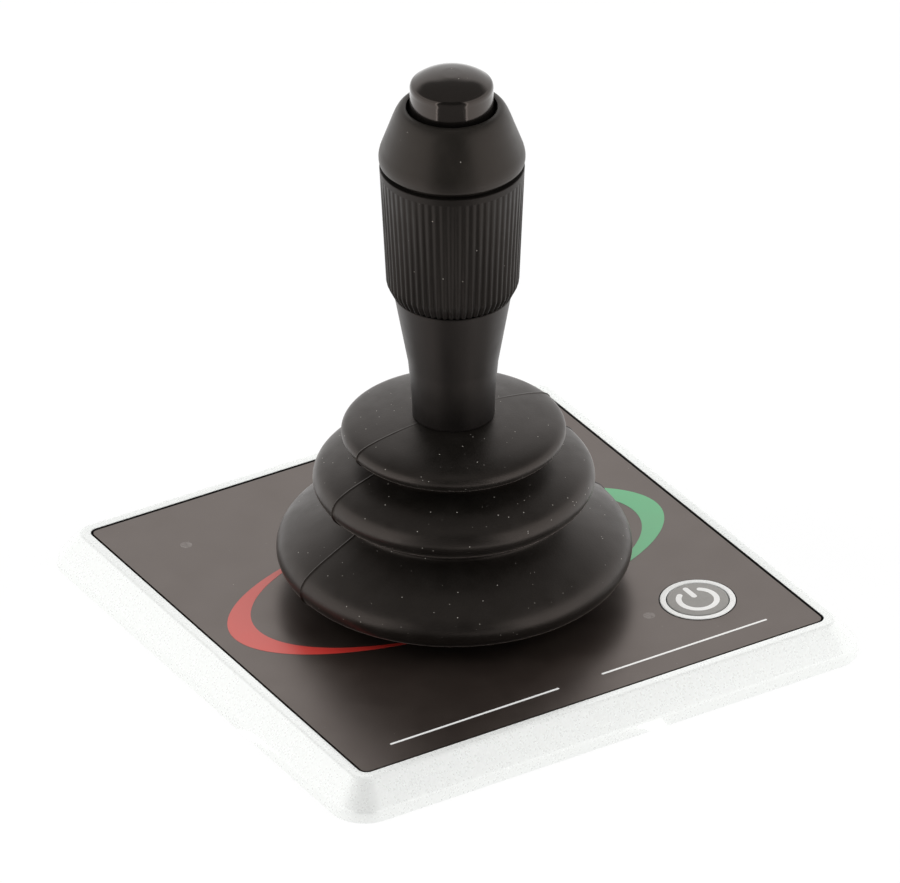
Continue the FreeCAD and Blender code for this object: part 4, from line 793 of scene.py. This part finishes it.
def make_boot():
    """Lower mesh from the clamped flange to the valley, upper mesh from there to the stem."""
    flange_low = low_of("boot")
    flange_top = flange_low + BOOT_FLANGE_THICK
    lower = softened([
        (BOOT_NECK - BOOT_WALL, flange_low, 0),
        (BOOT_FLANGE, flange_low, BOOT_FLANGE_ROUND),
        (BOOT_FLANGE, flange_top, BOOT_FLANGE_ROUND),
        (BOOT_NECK, flange_top, 0),
    ])
    lower += shell_outline(flowing(LOWER_FOLDS), BOOT_WALL)
    outside = flowing(UPPER_FOLDS)
    inside = shell_outline(outside, BOOT_WALL)[len(outside):]
    lip = [Vector((BOOT_LIP_BORE, BOOT_LIP_TOP)), Vector((BOOT_LIP_BORE, BOOT_LIP_LOW))]
    upper = outside + lip + inside[LIP_SPARED:]
    shaping = {"spokes": boot_spokes(), "relief": seam_relief, "edge_angle": BOOT_EDGE_ANGLE}
    low_boot = turned("boot_lower", lower, **shaping)
    stand_in(low_boot, "boot")
    high_boot = turned("boot_upper", upper, **shaping)
    stand_in(high_boot, "boot")
    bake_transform(low_boot)
    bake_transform(high_boot)


make_boot()


# Threaded studs behind the panel

STUD_COLLAR = 3.0
STUD_RADIUS = 2.0
STUD_ROOT = 1.65
STUD_PITCH = 0.7
STUD_CHAMFER = 0.5
STUD_NECK = 0.8
STUD_SPOKES = 36
STUD_EDGE_ANGLE = 25
THREAD_CREST = (0.40, 0.55)
THREAD_FOOT = 0.95


def make_studs():
    """Four studs with a collar in the chassis and a ridged thread below the console's face."""
    low, high = [corner * 1000 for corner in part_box("mounting_studs")]
    place = high.x - STUD_COLLAR
    outline = [
        (0, high.z),
        (STUD_COLLAR, high.z),
        (STUD_COLLAR, 0),
        (STUD_ROOT, 0),
        (STUD_ROOT, -STUD_NECK),
    ]
    ridges = int((-STUD_NECK - low.z - STUD_CHAMFER) / STUD_PITCH)
    for k in range(ridges):
        level = -STUD_NECK - k * STUD_PITCH
        for share in THREAD_CREST:
            outline.append((STUD_RADIUS, level - share * STUD_PITCH))
        outline.append((STUD_ROOT, level - THREAD_FOOT * STUD_PITCH))
    outline += [(STUD_RADIUS - STUD_CHAMFER, low.z), (0, low.z)]
    spokes = even_spokes(STUD_SPOKES)
    for i, (x, y) in enumerate(((1, 1), (-1, 1), (-1, -1), (1, -1))):
        middle = (x * place, y * place)
        stud = turned(f"stud_{i}", outline, middle, spokes, edge_angle=STUD_EDGE_ANGLE)
        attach(stud, "panel")
        stand_in(stud, "mounting_studs")


make_studs()


# Handle: stem, ribbed sleeve, dome cap and thumb button

RIB_COUNT = 60
RIB_DEPTH = 0.36
RIB_TOP = 69.9
RIB_SHARPNESS = 1.3
RIB_SPOKES = 10
RIB_MARGIN = 0.1
SHAFT_RADIUS = 3.0
SPIGOT_RADIUS = 6.45
SPIGOT_LENGTH = 5
STEM_FOOT = 4.9
STEM_TOP = 8.35
STEM_ROUND = 0.25
SPIGOT_ROUND = 0.3
STEM_SKIRT_LOW = 31.85
STEM_SKIRT = [(5.74, 31.85), (5.76, 33.2), (5.9, 35.8), (6.28, 40.2)]
SLEEVE_BORE = 6.5
SLEEVE_FOOT = 8.35
SLEEVE_FOOT_ROUND = 0.12
SLEEVE_WAIST = (9.2, 1.7)
SLEEVE_WAIST_ROUND = 0.5
SLEEVE_TOP = 9.95
SLEEVE_BAND = 10.0
SLEEVE_BAND_STEP = 0.02
SLEEVE_BAND_ROUND = 0.15
SLEEVE_EDGE_ANGLE = 50
SLEEVE_LIP = 5.6
SLEEVE_LIP_SPAN = (56.2, 60.7)
PLUG_RADIUS = 8.0
PLUG_ROUND = 0.2
CAP_BORE = 7.0
CAP_GROOVE = 9.1
CAP_GROOVE_HEIGHT = 0.9
CAP_SKIRT = 10.04
CAP_SKIRT_ROUND = 0.08
CAP_MOUTH = 6.3
CAP_MOUTH_TOP = 80.1
CAP_LIP_LOW = 78.1
BUTTON_FLANGE = 6.75
BUTTON_FLANGE_ROUND = 0.1
BUTTON_FLANGE_SPAN = (76.7, 77.9)
BUTTON_CAVITY = (4.6, 83.2)
BUTTON_CAVITY_ROUND = 0.3
BUTTON_PIN = 1.2
BUTTON_PIN_ROUND = 0.15
BUTTON_SIDE = 5.88
CAP_CURVE = [
    (10.08, 72.1), (10.08, 72.7), (9.94, 73.4), (9.66, 74.2), (9.2, 75.45), (8.73, 76.7), (8.22, 78.1),
    (7.74, 79.2), (7.3, 79.85), (6.9, 80.13), (6.5, 80.2),
]
BUTTON_CROWN = 85.37
BUTTON_CURVE = [
    (5.72, 82.6), (5.74, 83.15), (5.6, 83.6), (5.25, 83.92), (4.3, 84.5), (3.1, 84.97), (1.6, 85.28),
    (0.5, 85.36),
]


def make_stem():
    """Stem whose skirt stands on the boot's lip, widening to the shoulder and spigot of the sleeve."""
    low = low_of("grip_stem")
    top = top_of("grip_stem")
    shoulder = top - SPIGOT_LENGTH
    outline = softened([
        (SHAFT_RADIUS, low, 0),
        (STEM_FOOT, low, STEM_ROUND),
        (STEM_FOOT, STEM_SKIRT_LOW, 0),
    ])
    outline += flowing(STEM_SKIRT)
    outline += softened([
        (STEM_TOP, shoulder, STEM_ROUND),
        (SPIGOT_RADIUS, shoulder, 0),
        (SPIGOT_RADIUS, top, SPIGOT_ROUND),
        (SHAFT_RADIUS, top, 0),
    ])
    stem = turned("stem", outline)
    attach(stem, "lever")
    stand_in(stem, "grip_stem")


def rib_relief(angle, radius, height):
    """Grooves between the ribs, up to the smooth band at the sleeve's top."""
    if radius < PLUG_RADIUS + RIB_MARGIN or height > RIB_TOP:
        return 0
    wave = 0.5 + 0.5 * math.cos(RIB_COUNT * angle)
    return -RIB_DEPTH * wave ** RIB_SHARPNESS


def make_sleeve():
    """Ribbed sleeve that turns on the spigot and the bush. A lip between the two holds it, and the
    cap's plug fits its top."""
    low = low_of("grip_sleeve")
    top = top_of("grip_sleeve")
    plug_foot = low_of("dome_cap")
    outline = softened([
        (SLEEVE_BORE, low, 0),
        (SLEEVE_FOOT, low, SLEEVE_FOOT_ROUND),
        (SLEEVE_WAIST[0], low + SLEEVE_WAIST[1], SLEEVE_WAIST_ROUND),
        (SLEEVE_TOP, RIB_TOP, 0),
        (SLEEVE_TOP, RIB_TOP + SLEEVE_BAND_STEP, 0),
        (SLEEVE_BAND, top, SLEEVE_BAND_ROUND),
        (PLUG_RADIUS, top, 0),
        (PLUG_RADIUS, plug_foot, 0),
        (SLEEVE_BORE, plug_foot, 0),
        (SLEEVE_BORE, SLEEVE_LIP_SPAN[1], 0),
        (SLEEVE_LIP, SLEEVE_LIP_SPAN[1], 0),
        (SLEEVE_LIP, SLEEVE_LIP_SPAN[0], 0),
        (SLEEVE_BORE, SLEEVE_LIP_SPAN[0], 0),
    ])
    spokes = even_spokes(RIB_COUNT * RIB_SPOKES)
    sleeve = turned("sleeve", outline, (0, 0), spokes, rib_relief, SLEEVE_EDGE_ANGLE)
    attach(sleeve, "twist_knob")
    stand_in(sleeve, "grip_sleeve")


def make_cap():
    """Dome cap: a plug in the sleeve, a narrow dark groove above it, and the dome with its mouth."""
    plug_foot = low_of("dome_cap")
    seat = top_of("grip_sleeve")
    outline = softened([
        (CAP_BORE, plug_foot, 0),
        (PLUG_RADIUS, plug_foot, PLUG_ROUND),
        (PLUG_RADIUS, seat, 0),
        (CAP_GROOVE, seat, 0),
        (CAP_GROOVE, seat + CAP_GROOVE_HEIGHT, 0),
        (CAP_SKIRT, seat + CAP_GROOVE_HEIGHT, CAP_SKIRT_ROUND),
    ])
    outline += flowing(CAP_CURVE)
    outline += softened([
        (CAP_MOUTH, CAP_MOUTH_TOP, 0),
        (CAP_MOUTH, CAP_LIP_LOW, 0),
        (CAP_BORE, CAP_LIP_LOW, 0),
    ])
    cap = turned("cap", outline)
    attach(cap, "twist_knob")
    stand_in(cap, "dome_cap")


def make_button():
    """Thumb button: a hollow cup with a flange under the cap's lip and a pin down to the switch."""
    pin_foot = low_of("push_button")
    cavity, cavity_top = BUTTON_CAVITY
    outline = softened([
        (0, pin_foot, 0),
        (BUTTON_PIN, pin_foot, BUTTON_PIN_ROUND),
        (BUTTON_PIN, cavity_top, 0),
        (cavity, cavity_top, BUTTON_CAVITY_ROUND),
        (cavity, BUTTON_FLANGE_SPAN[0], 0),
        (BUTTON_FLANGE, BUTTON_FLANGE_SPAN[0], BUTTON_FLANGE_ROUND),
        (BUTTON_FLANGE, BUTTON_FLANGE_SPAN[1], BUTTON_FLANGE_ROUND),
        (BUTTON_SIDE, BUTTON_FLANGE_SPAN[1], 0),
    ])
    outline += flowing(BUTTON_CURVE)
    outline.append((0, BUTTON_CROWN))
    button = turned("button", outline)
    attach(button, "push_button")
    stand_in(button, "push_button")


make_stem()
make_sleeve()
make_cap()
make_button()


# Console top, light and background

# Levels, glow, bounce and light are strengths. Edges are cosines of the angle from the camera's side,
# and tops and feet are sines of the height over the horizon. The apron is in metres from the middle.
# A softbox has its turn from the camera's side, elevation, distance, width, height and radiance.

CUTOUT_HALF = 29.0
CUTOUT_CORNER = 0.5
FLOOR_HALF = 5000
FLOOR_CORNER = 10
FLOOR_GREY = (0.2, 0.2, 0.2, 1)
WORLD_SEEN = 1.0
WORLD_LIGHT = 0.50
FLOOR_GLOW = 0.82
FLOOR_BOUNCE = 0.8
STRIP_LEVEL = 1.7
STRIP_EDGES = (0.725, 0.75, 0.765, 0.785)
STRIP_TOP = (0.20, 0.50)
ROOM_LEVEL = 1.15
LEAN_IN = 0.15
APRON = (0.060, 0.085)
APRON_LEVEL = 0.85
DARK_SIDE = (math.cos(CAMERA_AZIMUTH), math.sin(CAMERA_AZIMUTH), 0)
DARK_LEVEL = 0.06
DARK_EDGES = (0.765, 0.80)
DARK_TOP = (0.60, 0.92)
CEILING_LEVEL = 0.22
CEILING_FOOT = (0.42, 0.66)
CEILING_EDGES = (0.62, 0.76)
LAMP_TARGET = 30
SOFTBOXES = {
    "softbox_left": (-78, 34, 0.7, 0.45, 0.6, 2.2),
    "softbox_right": (78, 34, 0.7, 0.45, 0.6, 2.2),
    "softbox_top": (180, 68, 0.9, 0.6, 0.6, 1.2),
}


class Backdrop:
    """Shared nodes of the world and the console top: white to the eye, with an unlit patch
    on the operator's side that glossy surfaces show, as in a room with lamps at both sides."""

    def __init__(self, tree, direction, apron=None):
        self.tree = tree
        self.direction = direction
        self.apron = apron
        path = tree.nodes.new("ShaderNodeLightPath")
        self.eye = path.outputs["Is Camera Ray"]
        self.mirror = path.outputs["Is Glossy Ray"]
        self.clear = path.outputs["Is Transmission Ray"]

    def math(self, operation, first, second):
        node = self.tree.nodes.new("ShaderNodeMath")
        node.operation = operation
        plug(self.tree, node, {0: first, 1: second})
        return node.outputs[0]

    def times(self, first, second):
        return self.math("MULTIPLY", first, second)

    def without(self, share):
        """What the share leaves of 1."""
        return self.math("SUBTRACT", 1.0, share)

    def ramp(self, value, start, end):
        """Smooth rise from 0 at the start to 1 at the end."""
        node = self.tree.nodes.new("ShaderNodeMapRange")
        node.interpolation_type = "SMOOTHSTEP"
        plug(self.tree, node, {"Value": value, "From Min": start, "From Max": end})
        return node.outputs["Result"]

    def vector(self, operation, first, second=(0, 0, 0)):
        """A vector sum, whose outputs are a Vector and a Value."""
        node = self.tree.nodes.new("ShaderNodeVectorMath")
        node.operation = operation
        plug(self.tree, node, {0: first, 1: second})
        return node.outputs

    def seen_in_gloss(self):
        """The room's level all round, with the dark sector between two bright strips on the
        operator's side and a ceiling that is dim except at the far side. The apron is a stretch
        of floor round the panel that stays light."""
        upright = self.vector("NORMALIZE", self.direction)["Vector"]
        height = self.vector("DOT_PRODUCT", upright, (0, 0, 1))["Value"]
        flat = self.vector("MULTIPLY", upright, (1, 1, 0))["Vector"]
        heading = self.vector("NORMALIZE", flat)["Vector"]
        ahead = self.vector("DOT_PRODUCT", heading, DARK_SIDE)["Value"]
        lean = self.times(self.math("MAXIMUM", height, 0.0), LEAN_IN)
        facing = self.math("SUBTRACT", ahead, lean)
        dark = self.times(self.ramp(facing, *DARK_EDGES), self.without(self.ramp(height, *DARK_TOP)))
        level = ROOM_LEVEL
        if self.apron:
            away = self.ramp(self.vector("LENGTH", self.direction)["Value"], *self.apron)
            dark = self.times(dark, away)
            level = self.math("ADD", self.times(away, ROOM_LEVEL - APRON_LEVEL), APRON_LEVEL)
        room = self.times(self.without(self.times(dark, 1 - DARK_LEVEL)), level)
        forward = self.vector("DOT_PRODUCT", upright, DARK_SIDE)["Value"]
        behind = self.ramp(self.math("SUBTRACT", 0.0, forward), *CEILING_EDGES)
        above = self.times(self.ramp(height, *CEILING_FOOT), self.without(behind))
        shaded = self.times(room, self.without(self.times(above, 1 - CEILING_LEVEL)))
        rise = self.ramp(facing, *STRIP_EDGES[:2])
        fall = self.without(self.ramp(facing, *STRIP_EDGES[2:]))
        strips = self.times(self.times(rise, fall), self.without(self.ramp(height, *STRIP_TOP)))
        return self.math("ADD", shaded, self.times(strips, STRIP_LEVEL))

    def strength(self, to_eye, otherwise):
        """Strength for each kind of ray."""
        shiny = self.math("MAXIMUM", self.mirror, self.clear)
        gloss = self.times(shiny, self.seen_in_gloss())
        unseen = self.math("ADD", gloss, self.times(self.without(shiny), otherwise))
        return self.math("ADD", self.times(self.eye, to_eye), self.times(self.without(self.eye), unseen))


def make_world():
    """White surroundings, whose level for each kind of ray the backdrop sets."""
    world = bpy.data.worlds.new("studio")
    bpy.context.scene.world = world
    world.use_nodes = True
    tree = world.node_tree
    direction = tree.nodes.new("ShaderNodeTexCoord").outputs["Generated"]
    strength = Backdrop(tree, direction).strength(WORLD_SEEN, WORLD_LIGHT)
    tree.links.new(strength, tree.nodes["Background"].inputs["Strength"])
    tree.nodes["Background"].inputs["Color"].default_value = (1, 1, 1, 1)


def make_floor():
    """Console top with the cut-out that the panel drops into."""
    cutout = square_ring(CUTOUT_HALF, CUTOUT_CORNER, 0, 1)
    edge = square_ring(FLOOR_HALF, FLOOR_CORNER, 0, 1)
    count = len(edge)
    faces = [[j, (j + 1) % count, count + (j + 1) % count, count + j] for j in range(count)]
    floor = mesh_piece("console_top", cutout + edge, faces)
    material = bpy.data.materials.new("console_white")
    material.use_nodes = True
    tree = material.node_tree
    tree.nodes.remove(tree.nodes["Principled BSDF"])
    place = tree.nodes.new("ShaderNodeTexCoord").outputs["Object"]
    glow = tree.nodes.new("ShaderNodeEmission")
    strength = Backdrop(tree, place, APRON).strength(FLOOR_GLOW, FLOOR_BOUNCE)
    tree.links.new(strength, glow.inputs["Strength"])
    matte = tree.nodes.new("ShaderNodeBsdfDiffuse")
    matte.inputs["Color"].default_value = FLOOR_GREY
    both = tree.nodes.new("ShaderNodeAddShader")
    tree.links.new(glow.outputs[0], both.inputs[0])
    tree.links.new(matte.outputs[0], both.inputs[1])
    tree.links.new(both.outputs[0], tree.nodes["Material Output"].inputs["Surface"])
    floor.data.materials.append(material)


def make_softbox(name, turn, elevation, distance, width, height, radiance):
    """Area lamp that looks at the top of the boot, turned so far round from the camera's side.

    Its distance and size are in metres. It stays out of reflections, because glossy surfaces show
    the room that the backdrop paints instead."""
    lamp = bpy.data.lights.new(name, "AREA")
    lamp.shape = "RECTANGLE"
    lamp.size = width
    lamp.size_y = height
    lamp.energy = radiance * math.pi * width * height
    box = bpy.data.objects.new(name, lamp)
    bpy.context.scene.collection.objects.link(box)
    a = CAMERA_AZIMUTH + math.radians(turn)
    e = math.radians(elevation)
    back = Vector((math.cos(a) * math.cos(e), math.sin(a) * math.cos(e), math.sin(e)))
    box.location = mm(0, 0, LAMP_TARGET) + back * distance
    box.rotation_mode = "QUATERNION"
    box.rotation_quaternion = back.to_track_quat("Z", "Y")
    box.visible_glossy = False


make_world()
make_floor()
for softbox, settings in SOFTBOXES.items():
    make_softbox(softbox, *settings)

bpy.context.scene.view_settings.view_transform = "Standard"
